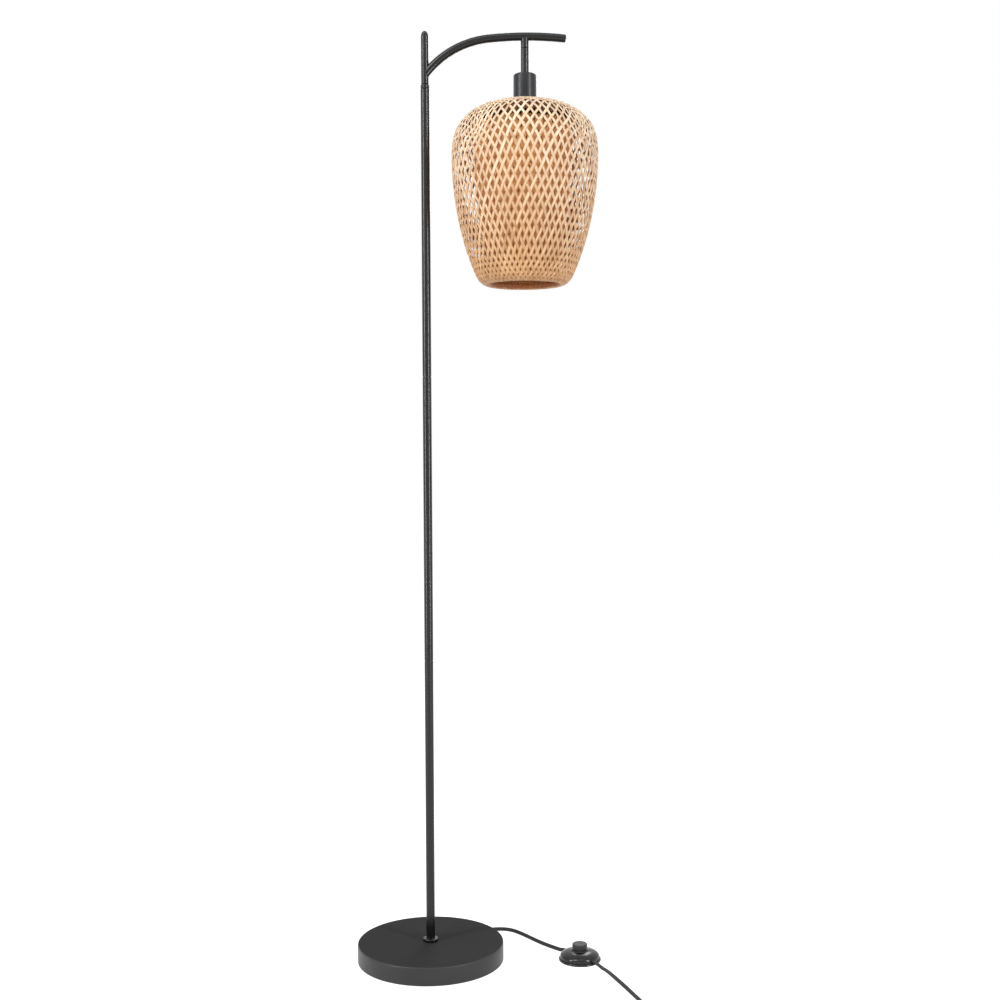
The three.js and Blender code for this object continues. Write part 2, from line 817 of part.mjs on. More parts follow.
const drop = group(dropOffset, 0, 0);
const dropRadius = dropDiameter / 2;
const dropBoreRadius = dropBore / 2;
const stubFoot = armAtDrop - stubReach;
const rodTop = stubFoot - seatGap;
const rodFoot = rodTop - dropRodLength;
const cupTop = rodFoot - seatGap;
const cupFoot = cupTop - cupHeight;
const stubNippleLow = stubFoot - stubNippleLength / 2;
const cupNippleLow = cupTop - cupWall - cupNippleDrop;

function makeStub() {
  const stub = pipe(dropRadius, dropBoreRadius, stubFoot, armAtDrop);
  const armTool = tubeAlong(new Stations(armPoints), circle(armRadius + seatGap, tubeSides));
  return cut(stub, armTool.translate(-dropOffset, 0, 0));
}

function makeCup() {
  const [foot, top] = [cupDiameter / 2, cupTopDiameter / 2];
  const innerEdge = cupEdgeRadius - cupWall;
  const edgeCentre = top - cupEdgeRadius;
  const bore = nippleHole;
  const edgeHeight = cupTop - cupEdgeRadius;
  return revolve(
    [
      [bore, cupTop - cupWall],
      ...arc(edgeCentre, edgeHeight, innerEdge, halfTurn / 2, 0, 2),
      [foot - cupWall, cupFoot],
      [foot, cupFoot],
      ...arc(edgeCentre, edgeHeight, cupEdgeRadius, 0, halfTurn / 2, 4),
      [bore, cupTop],
      [bore, cupTop - cupWall],
    ],
    cupSides,
  );
}

const cupNutTop = cupTop - cupWall - seatGap;
const cupNutLow = cupNutTop - nutThickness;
const cupNipple = pipe(nippleRadius, nippleBore / 2, cupNippleLow, cupNippleLow + cupNippleLength);
add(drop, "arm_stub", makeStub(), blackPaint);
const stubNipple = pipe(nippleRadius, nippleBore / 2, stubNippleLow, stubNippleLow + stubNippleLength);
add(drop, "stub_nipple", stubNipple, zincSteel);
add(drop, "drop_rod", pipe(dropRadius, dropBoreRadius, rodFoot, rodTop), blackPaint);
add(drop, "cup_nipple", cupNipple, zincSteel);
add(drop, "socket_cup", makeCup(), cupPaint);
add(drop, "cup_locknut", hexNut(nutAcrossFlats, 2 * nippleHole, cupNutLow, cupNutTop), zincSteel);

// Lampholder, from its cap down to its mouth

const socketCapTop = cupNutLow - seatGap;
const socketCapFoot = socketCapTop - socketCapHeight;
const socketTop = socketCapFoot - seatGap;
const socketMouth = socketTop - socketLength;
const socketRadius = socketDiameter / 2;
const socketBore = socketRadius - socketWall;
const floorLow = socketMouth + socketFloorDepth;
const floorHigh = floorLow + socketFloorThickness;
const contactBlockTop = floorLow - seatGap;
const contactBlockLow = contactBlockTop - blockThickness;
const shellTop = contactBlockLow - seatGap;
const shellFoot = shellTop - shellLength;

function makeSocketCap() {
  const radius = socketCapDiameter / 2;
  const inner = radius - socketCapWall;
  const slope = 2 * socketCapWall;
  return revolve(
    [
      [nippleHole, socketCapTop - socketCapWall],
      [inner - slope, socketCapTop - socketCapWall],
      [inner, socketCapTop - socketCapWall - slope],
      [inner, socketCapFoot],
      [radius, socketCapFoot],
      [radius, socketCapTop - slope],
      [radius - slope, socketCapTop],
      [nippleHole, socketCapTop],
      [nippleHole, socketCapTop - socketCapWall],
    ],
    smallSides,
  );
}

function makeSocketBody() {
  const shoulder = socketShoulderDiameter / 2;
  const shoulderLow = socketTop - socketShoulderHeight;
  const upperBore = shoulder - socketCapWall;
  return revolve(
    [
      [nippleBore / 2, floorLow],
      [socketBore, floorLow],
      [socketBore, socketMouth],
      [socketRadius, socketMouth],
      [socketRadius, shoulderLow],
      [shoulder, shoulderLow],
      [shoulder, socketTop],
      [upperBore, socketTop],
      [upperBore, floorHigh],
      [nippleBore / 2, floorHigh],
      [nippleBore / 2, floorLow],
    ],
    cupSides,
  );
}

// A leaf that starts flat under the block and bows down to press on the bulb's tip.
function makeContact() {
  const shape = new THREE.Shape();
  const [half, bow] = [contactLength / 2, contactDrop - contactThickness];
  shape.moveTo(half, 0);
  shape.quadraticCurveTo(0, -2 * bow, -half, 0);
  shape.lineTo(-half, -contactThickness);
  shape.quadraticCurveTo(0, -2 * bow - contactThickness, half, -contactThickness);
  shape.closePath();
  const options = { depth: contactWidth, bevelEnabled: false, curveSegments: 6 };
  const leaf = new THREE.ExtrudeGeometry(shape, options).translate(0, 0, -contactWidth / 2);
  return closed(leaf.rotateX(halfTurn / 2));
}

add(drop, "socket_cap", makeSocketCap(), blackMoulding);
add(drop, "socket_body", makeSocketBody(), blackMoulding);
const contactBlock = disc(socketBore - seatGap, contactBlockLow, contactBlockTop, smallSides);
add(drop, "contact_block", contactBlock, ceramicWhite);
const screwShell = pipe(shellDiameter / 2, shellDiameter / 2 - shellWall, shellFoot, shellTop, smallSides);
add(drop, "screw_shell", screwShell, brassMetal);
add(drop, "centre_contact", makeContact(), brassMetal).position.set(0, 0, contactBlockLow - seatGap);

// Shade

const shade = group(dropOffset, 0, 0);
const shadeTop = cupFoot - seatGap;
const shadeBottom = shadeTop - shadeHeight;
const shadeRadius = shadeDiameter / 2;
const shadeWaist = shadeTop - shadeCrownHeight;
const shadeHole = socketRadius + seatGap;
const throatRadius = throatDiameter / 2;

// What is left of one half-axis of a full oval when the other is used up by the given share.
function ovalShare(share, fullness) {
  return Math.pow(1 - Math.pow(share, fullness), 1 / fullness);
}

// The outer skin's height above the widest row, where the crown has the given radius.
function crownHeightAt(radius) {
  return shadeCrownHeight * ovalShare(radius / shadeRadius, crownFullness);
}

// The outer skin's radius at a depth below the widest row.
function bellyRadiusAt(depth) {
  return shadeRadius * ovalShare(depth / shadeBellyDepth, bellyFullness);
}

// A stretch of the crown's skin between two radii, its points closer where it turns down.
function crownLine(from, to, steps) {
  const [first, last] = [from, to].map((radius) => Math.asin(radius / shadeRadius));
  const line = [];
  for (let i = 0; i <= steps; i += 1) {
    const radius = i === steps ? to : shadeRadius * Math.sin(first + ((last - first) * i) / steps);
    line.push(new THREE.Vector2(radius, shadeWaist + crownHeightAt(radius)));
  }
  return line;
}

// The outer skin from the widest row down to where the rim begins to roll.
function bellyLine(steps) {
  const rimDepth = shadeWaist - (shadeBottom + rimStartHeight);
  const line = [];
  for (let i = 0; i <= steps; i += 1) {
    const depth = (rimDepth * i) / steps;
    line.push(new THREE.Vector2(bellyRadiusAt(depth), shadeWaist - depth));
  }
  return line;
}

// The rim rolls on from the belly's heading, under and up into the throat.
function rimLine(belly, steps) {
  const start = belly.at(-1);
  const heading = start.clone().sub(belly.at(-2)).normalize();
  return new THREE.CubicBezierCurve(
    start,
    start.clone().addScaledVector(heading, rimCurl),
    new THREE.Vector2(throatRadius, shadeBottom - rimDip),
    new THREE.Vector2(throatRadius, shadeBottom + rimLipHeight),
  ).getPoints(steps);
}

// A line whose last point is drawn back up by the seat gap, to stand on the next ring.
function standing(line) {
  const end = line.at(-1);
  return [...line.slice(0, -1), new THREE.Vector2(end.x, end.y + seatGap)];
}

const matRadius = crownMatDiameter / 2;
const crownMat = crownLine(shadeHole, matRadius, 3);
const shoulder = crownLine(matRadius + seatGap, shadeRadius, 12);
const belly = bellyLine(20);
const rim = rimLine(belly, 4);
const linerFoot = shadeBottom + rimLipHeight + seatGap;
const linerTop = shadeBottom + linerTopHeight;

// The liner's outer skin, from the throat up to its hoop.
function linerLine(steps) {
  const [low, high] = [throatRadius + shadeWall, linerTopDiameter / 2];
  const [swell, flare] = linerSwellShares.map((share) => linerFoot + (linerTop - linerFoot) * share);
  return new THREE.CubicBezierCurve(
    new THREE.Vector2(high, linerTop),
    new THREE.Vector2(high + linerSwell, swell),
    new THREE.Vector2(low + linerFlare, flare),
    new THREE.Vector2(low, linerFoot),
  ).getPoints(steps);
}

add(shade, "shade_crown", shellOf(standing(crownMat), shadeWall, shadeSides), bambooSkin);
const shoulderWall = latticeOf(standing(shoulder), shadeWall, latticeColumns, shoulderRows);
const bellyWall = latticeOf(standing(belly), shadeWall, latticeColumns, bellyRows);
add(shade, "shade_shoulder", shoulderWall, bambooSkin);
add(shade, "shade_belly", bellyWall, bambooSkin);
add(shade, "shade_rim", shellOf(rim, shadeWall, shadeSides), bambooSkin);
add(shade, "shade_liner", shellOf(linerLine(5), shadeWall, linerSides), bambooInner);

// The height of a line of points where it passes a radius.
function heightOn(line, radius) {
  const i = line.findIndex((p) => p.x >= radius);
  const [from, to] = [line[i - 1], line[i]];
  return THREE.MathUtils.mapLinear(radius, from.x, to.x, from.y, to.y);
}

const fitterTop = heightOn(offsetLine(crownMat, shadeWall), fitterDiameter / 2) - seatGap;
const fitterLow = fitterTop - fitterThickness;
const ringTop = fitterLow - seatGap;
const ringLow = ringTop - ringThickness;
add(shade, "shade_fitter", pipe(fitterDiameter / 2, shadeHole, fitterLow, fitterTop, cupSides), zincSteel);

// The threaded ring under the fitter, scalloped for the fingers.
function makeRing() {
  const lobes = 12;
  const outline = new THREE.Shape();
  for (let i = 0; i < lobes * 4; i += 1) {
    const angle = (fullTurn * i) / (lobes * 4);
    const radius = ringDiameter / 2 - (i % 4 < 2 ? 0 : ringNotchDepth);
    const [x, y] = [radius * Math.cos(angle), radius * Math.sin(angle)];
    if (i === 0) outline.moveTo(x, y);
    else outline.lineTo(x, y);
  }
  outline.closePath();
  outline.holes.push(circle(shadeHole, cupSides));
  const options = { depth: ringThickness, bevelEnabled: false };
  return closed(new THREE.ExtrudeGeometry(outline, options).translate(0, 0, ringLow));
}
add(shade, "socket_ring", makeRing(), blackMoulding);

// Bulb

const bulbTipTop = contactBlockLow - seatGap - contactDrop - seatGap;
const bulbCapTop = bulbTipTop - bulbTipLength;
const bulbCapFoot = bulbCapTop - bulbCapLength;
const bulbBottom = bulbTipTop - bulbLength;
const bulbWidest = bulbBottom + bulbDiameter / 2;
const bulbNeckRadius = bulbNeckDiameter / 2;
const bulbNeckTop = bulbCapFoot + bulbNeckInCap;

function makeBulbCap() {
  const radius = bulbCapDiameter / 2;
  const inner = radius - bulbCapWall;
  const tip = bulbTipDiameter / 2;
  const bevel = 2 * bulbTipLength;
  return revolve(
    [
      [0, bulbCapTop - bulbCapWall],
      [tip, bulbCapTop - bulbCapWall],
      [inner, bulbCapTop - bevel],
      [inner, bulbCapFoot],
      [radius, bulbCapFoot],
      [radius, bulbCapTop - bevel],
      [tip + bulbCapWall, bulbCapTop],
      [tip, bulbTipTop],
      [0, bulbTipTop],
    ],
    smallSides,
  );
}

// The glass: a neck inside the cap that swells to its widest row and closes in a round end.
function bulbLine(steps) {
  const widest = bulbDiameter / 2;
  const swell = new THREE.CubicBezierCurve(
    new THREE.Vector2(bulbNeckRadius, bulbCapFoot - bulbNeckLength),
    new THREE.Vector2(bulbNeckRadius, bulbCapFoot - bulbNeckLength - bulbSwellTop),
    new THREE.Vector2(widest, bulbWidest + bulbSwellFoot),
    new THREE.Vector2(widest, bulbWidest),
  );
  const round = arc(0, bulbWidest, widest, 0, -halfTurn / 2, steps).map(([r, z]) => new THREE.Vector2(r, z));
  round[steps].x = 0;
  return [new THREE.Vector2(bulbNeckRadius, bulbNeckTop), ...swell.getPoints(steps), ...round.slice(1)];
}

function makeGlass() {
  return shellOf(bulbLine(4), bulbWall, bulbSides);
}

function makeBulbMount() {
  const radius = bulbMountDiameter / 2;
  const top = bulbNeckTop - seatGap;
  const flare = bulbNeckRadius - bulbWall - seatGap;
  return revolve(
    [
      [0, top - bulbMountLength],
      [radius, top - bulbMountLength + radius],
      [radius, top - bulbMountFlareLength],
      [flare, top - radius],
      [flare, top],
      [0, top],
    ],
    smallSides,
  );
}
add(drop, "bulb_cap", makeBulbCap(), brassMetal);
add(drop, "bulb_glass", makeGlass(), bulbGlassFinish);
add(drop, "bulb_mount", makeBulbMount(), bulbGlassFinish);

// The supply lead that runs inside the tubes, from the relief to the lampholder

// Points of a quarter bend in a vertical plane: from one angle to another about a centre.
function bend(centreX, centreZ, radius, from, to, steps) {
  return Array.from({ length: steps + 1 }, (_, i) => {
    const angle = from + ((to - from) * i) / steps;
    return new THREE.Vector3(centreX + radius * Math.cos(angle), 0, centreZ + radius * Math.sin(angle));
  });
}

function leadRoute() {
  const start = reliefInside - reliefInnerLength - seatGap;
  const floorRun = [towardsCordExit(start, reliefHeight), towardsCordExit(start / 2, reliefHeight)];
  const upturnLevel = reliefHeight + leadBendRadius;
  const upturn = bend(leadBendRadius, upturnLevel, leadBendRadius, -halfTurn / 2, -halfTurn, 6);
  upturn.forEach((p) => p.applyAxisAngle(new THREE.Vector3(0, 0, 1), cordExitAngle));
  const turn = halfTurn / 2 - armStartAngle;
  const leadStart = armStart - leadStemBendRadius * Math.tan(turn / 2);
  const intoArm = bend(leadStemBendRadius, leadStart, leadStemBendRadius, halfTurn, halfTurn - turn, 4);
  const bendEnd = dropOffset - leadDropBendRadius;
  const along = armAngles
    .map(armAxis)
    .filter((p) => p.x > 2 * leadStemBendRadius && p.x < bendEnd - leadDropBendRadius);
  const level = armAtDrop - leadDropBendRadius;
  const downturn = bend(bendEnd, level, leadDropBendRadius, halfTurn / 2, 0, 6);
  const end = new THREE.Vector3(dropOffset, 0, cupNippleLow - nippleDiameter / 2);
  return [...floorRun, ...upturn, ...intoArm, ...along, ...downturn, end];
}
const lead = group();
const leadPath = new Stations(leadRoute());
add(lead, "supply_lead", tubeAlong(leadPath, circle(leadDiameter / 2, leadSides)), cordJacket);

// Foot switch

const footSwitch = group(switchX, switchY, 0);
footSwitch.rotation.z = switchCordAngle;
const flangeRadius = flangeDiameter / 2;
const coverFoot = flangeThickness + seatGap;
const domeTop = coverFoot + switchDomeHeight;
const switchCordHeight = coverFoot + cordThickness / 2 + seatGap;
const buttonHole = buttonNeckDiameter / 2 + buttonRunningGap;
const buttonCapLow = domeTop + buttonTravel + buttonRunningGap;
const ceilingAtButton = domeTop - switchWall;
const buttonFlangeRadius = buttonFlangeDiameter / 2;

// The dome's outer side: a flat ring round the button, a full shoulder, and a short upright wall.
function domeLine(steps) {
  const foot = switchDomeDiameter / 2;
  const sideTop = coverFoot + switchDomeSideHeight;
  const ring = buttonFlangeRadius + switchCollarWidth / 2;
  const start = ring + switchCollarWidth;
  const shoulder = Array.from({ length: steps + 1 }, (_, i) => {
    const radius = start + (foot - start) * Math.sin(((halfTurn / 2) * i) / steps);
    return [radius, sideTop + (domeTop - sideTop) * ovalShare(radius / foot, switchDomeFullness)];
  });
  shoulder[steps] = [foot, sideTop];
  return [[buttonHole, domeTop], [ring, domeTop], ...shoulder, [foot, coverFoot]];
}

function makeSwitchCover() {
  const line = domeLine(4);
  const outerPoints = line.map(([r, z]) => new THREE.Vector2(r, z));
  const inner = offsetLine(outerPoints, switchWall).map((p) => [p.x, p.y]);
  const boss = (side) => {
    return disc(bossDiameter / 2, coverFoot, domeTop, 12).translate(0, side * bossOffset, 0);
  };
  const pilot = (side) => {
    const high = seatGap + screwHeadThickness + screwLength + seatGap;
    return disc(screwDiameter / 2 + seatGap, 0, high, 12).translate(0, side * bossOffset, 0);
  };
  const solid = revolve([[0, coverFoot], [0, domeTop], ...line, [0, coverFoot]], switchSides);
  const low = coverFoot - cutOverrun;
  const ceiling = [[0, low], [0, ceilingAtButton], ...inner.slice(1, -1), [inner.at(-1)[0], low], [0, low]];
  const hollow = revolve(ceiling, switchSides);
  const hole = disc(buttonHole, ceilingAtButton - cutOverrun, domeTop + cutOverrun, switchSides);
  const mouthTop = switchCordHeight + cordThickness / 2 + seatGap;
  const mouth = box(
    switchDomeDiameter + cutOverrun,
    cordWidth + 2 * seatGap,
    mouthTop - low,
    0,
    0,
    (mouthTop + low) / 2,
  );
  return cut(solid, cut(hollow, boss(-1), boss(1)), hole, pilot(-1), pilot(1), mouth);
}

function makeSwitchBase() {
  const edge = flangeThickness / 2;
  const plate = revolve(
    [
      [0, 0],
      [flangeRadius - edge / 2, 0],
      [flangeRadius, edge / 2],
      ...arc(flangeRadius - edge, flangeThickness - edge, edge, 0, halfTurn / 2, 3),
      [0, flangeThickness],
    ],
    switchSides,
  );
  const holes = [-1, 1].flatMap((side) => {
    const through = disc(screwDiameter / 2 + seatGap, -cutOverrun, flangeThickness + cutOverrun, 12);
    const headRoom = disc(screwHeadDiameter / 2 + seatGap, -cutOverrun, 2 * seatGap + screwHeadThickness, 12);
    return [through, headRoom].map((tool) => tool.translate(0, side * bossOffset, 0));
  });
  return cut(plate, ...holes);
}

function makeButton() {
  const [cap, neck] = [buttonDiameter / 2, buttonNeckDiameter / 2];
  const flange = buttonFlangeRadius;
  const flangeTop = ceilingAtButton - seatGap;
  const flangeLow = flangeTop - buttonFlangeThickness;
  const pocket = springDiameter / 2 + springWireDiameter / 2 + seatGap;
  const pocketTop = buttonBottomHeight + springSeatDepth;
  return revolve(
    [
      [0, pocketTop],
      [pocket, pocketTop],
      [pocket, buttonBottomHeight],
      [buttonBodyDiameter / 2, buttonBottomHeight],
      [buttonBodyDiameter / 2, flangeLow],
      [flange, flangeLow],
      [flange, flangeTop],
      [neck, flangeTop],
      [neck, buttonCapLow],
      [cap - seatGap, buttonCapLow],
      [cap, buttonCapLow + seatGap],
      ...arc(cap - buttonEdgeRadius, buttonTopHeight - buttonEdgeRadius, buttonEdgeRadius, 0, halfTurn / 2, 3),
      [0, buttonTopHeight],
    ],
    switchSides,
  );
}

// The spring: one unbroken wire of five sides, with eight steps to a curl.
function makeSpring() {
  const wire = springWireDiameter / 2;
  const radius = springDiameter / 2;
  const low = flangeThickness + seatGap + wire;
  const high = buttonBottomHeight + springSeatDepth - seatGap - wire;
  const steps = springCurls * 8;
  const rings = Array.from({ length: steps + 1 }, (_, i) => {
    const turn = (fullTurn * i) / 8;
    const height = low + ((high - low) * i) / steps;
    const outward = new THREE.Vector3(Math.cos(turn), Math.sin(turn), 0);
    return Array.from({ length: 5 }, (_, k) => {
      const angle = (fullTurn * k) / 5;
      return outward
        .clone()
        .multiplyScalar(radius + wire * Math.cos(angle))
        .add(new THREE.Vector3(0, 0, height + wire * Math.sin(angle)));
    });
  });
  return skin(rings);
}

function makeScrew(side) {
  const head = screwHeadDiameter / 2;
  const shank = screwDiameter / 2;
  const foot = seatGap;
  const neck = foot + screwHeadThickness;
  return revolve(
    [[0, foot], [head, foot], [head, neck], [shank, neck], [shank, neck + screwLength], [0, neck + screwLength]],
    12,
  ).translate(0, side * bossOffset, 0);
}

function makeContactPad(side) {
  const low = flangeThickness + seatGap;
  const middle = low + contactPadHeight / 2;
  const strip = box(contactPadLength, contactPadWidth, contactPadHeight, side * contactPadOffset, 0, middle);
  const step = box(
    contactPadLength / 2,
    contactPadWidth + cutOverrun,
    contactPadHeight,
    side * (contactPadOffset + contactPadLength / 4),
    0,
    middle + contactPadHeight / 2,
  );
  return cut(strip, step);
}

add(footSwitch, "switch_base", makeSwitchBase(), blackMoulding);
add(footSwitch, "switch_cover", makeSwitchCover(), blackMoulding);
add(footSwitch, "switch_button", makeButton(), blackMoulding);
add(footSwitch, "switch_spring", makeSpring(), zincSteel);
add(footSwitch, "switch_screw_left", makeScrew(-1), zincSteel);
add(footSwitch, "switch_screw_right", makeScrew(1), zincSteel);
add(footSwitch, "switch_contact_in", makeContactPad(-1), brassMetal);
add(footSwitch, "switch_contact_out", makeContactPad(1), brassMetal);

// Cord

const cordLevel = cordThickness / 2 + cordFloorGap;

// The twin jacket's section: two round edges with flats between them, lying on its wide side.
function cordSection() {
  const [half, round] = [cordWidth / 2, cordThickness / 2];
  const slope = round * cordEdgeShare;
  const outline = [
    [-round, -half + round],
    [-slope, -half],
    [slope, -half],
    [round, -half + round],
    [round, half - round],
    [slope, half],
    [-slope, half],
    [-round, half - round],
  ];
  return new THREE.Shape(outline.map(([x, y]) => new THREE.Vector2(x, y)));
}

// Evenly spaced points on a smooth curve through the chosen ones, none under the cord's own level.
function smooth(points, spacing) {
  const curve = new THREE.CatmullRomCurve3(points.map(([x, y, z]) => new THREE.Vector3(x, y, z)));
  const spaced = curve.getSpacedPoints(Math.round(curve.getLength() / spacing));
  return spaced.map((p) => p.setZ(Math.max(p.z, cordLevel)));
}

const cordRingSpacing = 2 * cordWidth;
const reliefTipDistance = baseRadius + reliefOuterLength + seatGap;
const reliefTip = towardsCordExit(reliefTipDistance, reliefHeight);
const reliefAhead = towardsCordExit(reliefTipDistance + cordThickness, reliefHeight);

// A point on the cord's line through the switch, at a distance after its middle and at a height.
function throughSwitch(distance, height) {
  const [along, aside] = [Math.cos(switchCordAngle), Math.sin(switchCordAngle)];
  return [switchX + distance * along, switchY + distance * aside, height];
}
const switchInside = contactPadOffset + contactPadLength / 2 + seatGap;
const switchRamp = flangeRadius + cordThickness;

// Places that the cord passes from the base to the switch, and from the switch to its coil
const routeToSwitch = [
  reliefAhead.toArray(),
  [94.6, 119.8, 5.0],
  [99.6, 124.6, 2.9],
  [106.4, 128.8, cordLevel],
  [116.4, 131.7, cordLevel],
  [127.2, 132.1, cordLevel],
  [138.4, 130.4, cordLevel],
  [149.2, 124.6, cordLevel],
  [159.6, 114.2, cordLevel],
  [169.6, 100.4, cordLevel],
  [179.4, 85.4, cordLevel],
  [189.2, 70.2, cordLevel],
  [199.2, 55.6, cordLevel],
  [208.9, 43.2, cordLevel],
  [218.0, 32.6, cordLevel],
  throughSwitch(-switchRamp - 2 * cordWidth, cordLevel + cordThickness / 2),
  throughSwitch(-switchRamp, switchCordHeight),
  throughSwitch(-switchInside, switchCordHeight),
];
const coilStart = [340.4, -232.6, cordLevel];
const routeToCoil = [
  throughSwitch(switchInside, switchCordHeight),
  throughSwitch(switchRamp, switchCordHeight),
  throughSwitch(switchRamp + 2 * cordWidth, cordLevel + cordThickness / 2),
  [295.6, -74.4, cordLevel],
  [300.6, -86.8, cordLevel],
  [304.4, -99.4, cordLevel],
  [308.2, -112.6, cordLevel],
  [312.0, -126.8, cordLevel],
  [316.2, -141.8, cordLevel],
  [320.6, -157.6, cordLevel],
  [324.8, -174.0, cordLevel],
  [329.2, -191.0, cordLevel],
  [334.8, -211.6, cordLevel],
  coilStart,
];

// The coil: straight lead-in, turns that spiral in and out again in two layers, straight tail.
const coilPitch = cordThickness + coilGap;
const coilOuter = coilMeanDiameter / 2 + (coilTurns * coilPitch) / 4;
const coilLayer1 = tieThickness + seatGap + cordWidth / 2;
const coilLayer2 = coilLayer1 + cordWidth + coilGap;
const coilHeading = new THREE.Vector3(Math.cos(coilEntryAngle), Math.sin(coilEntryAngle), 0);
const coilTouch = new THREE.Vector3(...coilStart).addScaledVector(coilHeading, coilLeadLength);
const coilCentre = new THREE.Vector3(-Math.sin(coilEntryAngle), Math.cos(coilEntryAngle), 0)
  .multiplyScalar(-coilOuter)
  .add(coilTouch)
  .setZ(0);
const coilFirstAngle = coilEntryAngle + halfTurn / 2;
const plugLevel = plugHeight / 2;
const loopSteps = 24;
const straightSteps = 7;

function ease(share) {
  return share * share * (3 - 2 * share);
}

// Each station has its place, the way it heads, and how far the section has turned onto its edge.
function coilStations() {
  const stations = [];
  const from = new THREE.Vector3(...coilStart).addScaledVector(coilHeading, seatGap);
  const leadRun = coilLeadLength - seatGap;
  for (let i = 0; i < straightSteps; i += 1) {
    const share = i / straightSteps;
    const turned = ease(Math.max(0, (share - 1 + coilTwistShare) / coilTwistShare));
    const place = from.clone().addScaledVector(coilHeading, leadRun * share);
    place.z = cordLevel + (coilLayer1 - cordLevel) * turned;
    stations.push({ place, heading: coilHeading.clone(), turned });
  }
  const steps = Math.round(coilTurns * loopSteps);
  for (let i = 0; i <= steps; i += 1) {
    const turn = (coilTurns * i) / steps;
    const angle = coilFirstAngle - fullTurn * turn;
    const inwards = coilTurns / 2 - Math.abs(turn - coilTurns / 2);
    const radius = coilOuter - coilPitch * inwards;
    const climb = ease(THREE.MathUtils.clamp((turn - coilTurns / 2 + climbTurns / 2) / climbTurns, 0, 1));
    const place = new THREE.Vector3(Math.cos(angle), Math.sin(angle), 0).multiplyScalar(radius);
    place.add(coilCentre).setZ(coilLayer1 + (coilLayer2 - coilLayer1) * climb);
    const heading = new THREE.Vector3(Math.sin(angle), -Math.cos(angle), 0);
    stations.push({ place, heading, turned: 1 });
  }
  const leave = stations[stations.length - 1];
  for (let i = 1; i <= straightSteps; i += 1) {
    const share = i / straightSteps;
    const turned = 1 - ease(Math.min(1, share / coilTwistShare));
    const place = leave.place.clone().addScaledVector(leave.heading, coilTailLength * share);
    place.z = plugLevel + (coilLayer2 - plugLevel) * turned;
    stations.push({ place, heading: leave.heading.clone(), turned });
  }
  return stations;
}

// Six points round the cord at one station: pointed at the round edges, flat on the wide sides.
function coilRing({ place, heading, turned }) {
  const side = new THREE.Vector3(heading.y, -heading.x, 0);
  const up = new THREE.Vector3(0, 0, 1);
  const roll = (turned * halfTurn) / 2;
  const across = side.clone().multiplyScalar(Math.cos(roll)).addScaledVector(up, Math.sin(roll));
  const through = up.clone().multiplyScalar(Math.cos(roll)).addScaledVector(side, -Math.sin(roll));
  const [half, flat, thick] = [cordWidth / 2, (cordWidth - cordThickness) / 2, cordThickness / 2];
  const corners = [[half, 0], [flat, thick], [-flat, thick], [-half, 0], [-flat, -thick], [flat, -thick]];
  return corners.map(([a, t]) => place.clone().addScaledVector(across, a).addScaledVector(through, t));
}

// The least distance between rings that lie at least half a turn apart along the cord.
function leastGap(rings) {
  const apart = loopSteps / 2;
  let least = Infinity;
  for (let i = 0; i < rings.length; i += 1) {
    for (let j = i + apart; j < rings.length; j += 1) {
      if (rings[i][0].distanceTo(rings[j][0]) > 3 * cordWidth) continue;
      for (const p of rings[i]) {
        for (const [k, q] of rings[j].entries()) {
          const next = rings[j][(k + 1) % rings[j].length];
          const line = new THREE.Line3(q, next);
          const near = line.closestPointToPoint(p, true, new THREE.Vector3());
          least = Math.min(least, near.distanceTo(p));
        }
      }
    }
  }
  return least;
}

const cord = group();
const coilPath = coilStations();
const coilRings = coilPath.map(coilRing);
const pathToSwitch = new LyingStations([reliefTip, ...smooth(routeToSwitch, cordRingSpacing)]);
const pathToCoil = new LyingStations(smooth(routeToCoil, cordRingSpacing));
add(cord, "cord_base_to_switch", tubeAlong(pathToSwitch, cordSection()), cordJacket);
add(cord, "cord_switch_to_coil", tubeAlong(pathToCoil, cordSection()), cordJacket);
add(cord, "cord_coil", skin(coilRings), cordJacket);

// A strap round the bundle of turns, on the side away from the lead-in.
function makeTie() {
  const innerReach = coilOuter - (coilTurns / 2) * coilPitch - cordThickness / 2 - tieClearance;
  const outerReach = coilOuter + cordThickness / 2 + tieClearance;
  const top = coilLayer2 + cordWidth / 2 + tieClearance;
  const outline = new THREE.Shape();
  outline.moveTo(innerReach - tieThickness, 0);
  outline.lineTo(outerReach + tieThickness, 0);
  outline.lineTo(outerReach + tieThickness, top + tieThickness);
  outline.lineTo(innerReach - tieThickness, top + tieThickness);
  outline.closePath();
  const hole = new THREE.Path();
  hole.moveTo(innerReach, tieThickness);
  hole.lineTo(innerReach, top);
  hole.lineTo(outerReach, top);
  hole.lineTo(outerReach, tieThickness);
  hole.closePath();
  outline.holes.push(hole);
  const strap = new THREE.ExtrudeGeometry(outline, { depth: tieWidth, bevelEnabled: false });
  return closed(strap.translate(0, 0, -tieWidth / 2).rotateX(halfTurn / 2));
}
const tie = add(cord, "cord_tie", makeTie(), blackMoulding);
tie.position.copy(coilCentre);
tie.rotation.z = coilFirstAngle + halfTurn;

// Plug, made along +X from its cord end at the origin

// A ring of the plug's body: a rectangle with cut corners, at a distance from its cord end.
function plugRing(x, width, height) {
  const [w, h] = [width / 2, height / 2];
  const corner = h * plugCornerShare;
  const corners = [[w, h - corner], [w - corner, h], [corner - w, h], [-w, h - corner]];
  const all = [...corners, ...corners.map(([y, z]) => [-y, -z])];
  return all.map(([y, z]) => new THREE.Vector3(x, y, z));
}

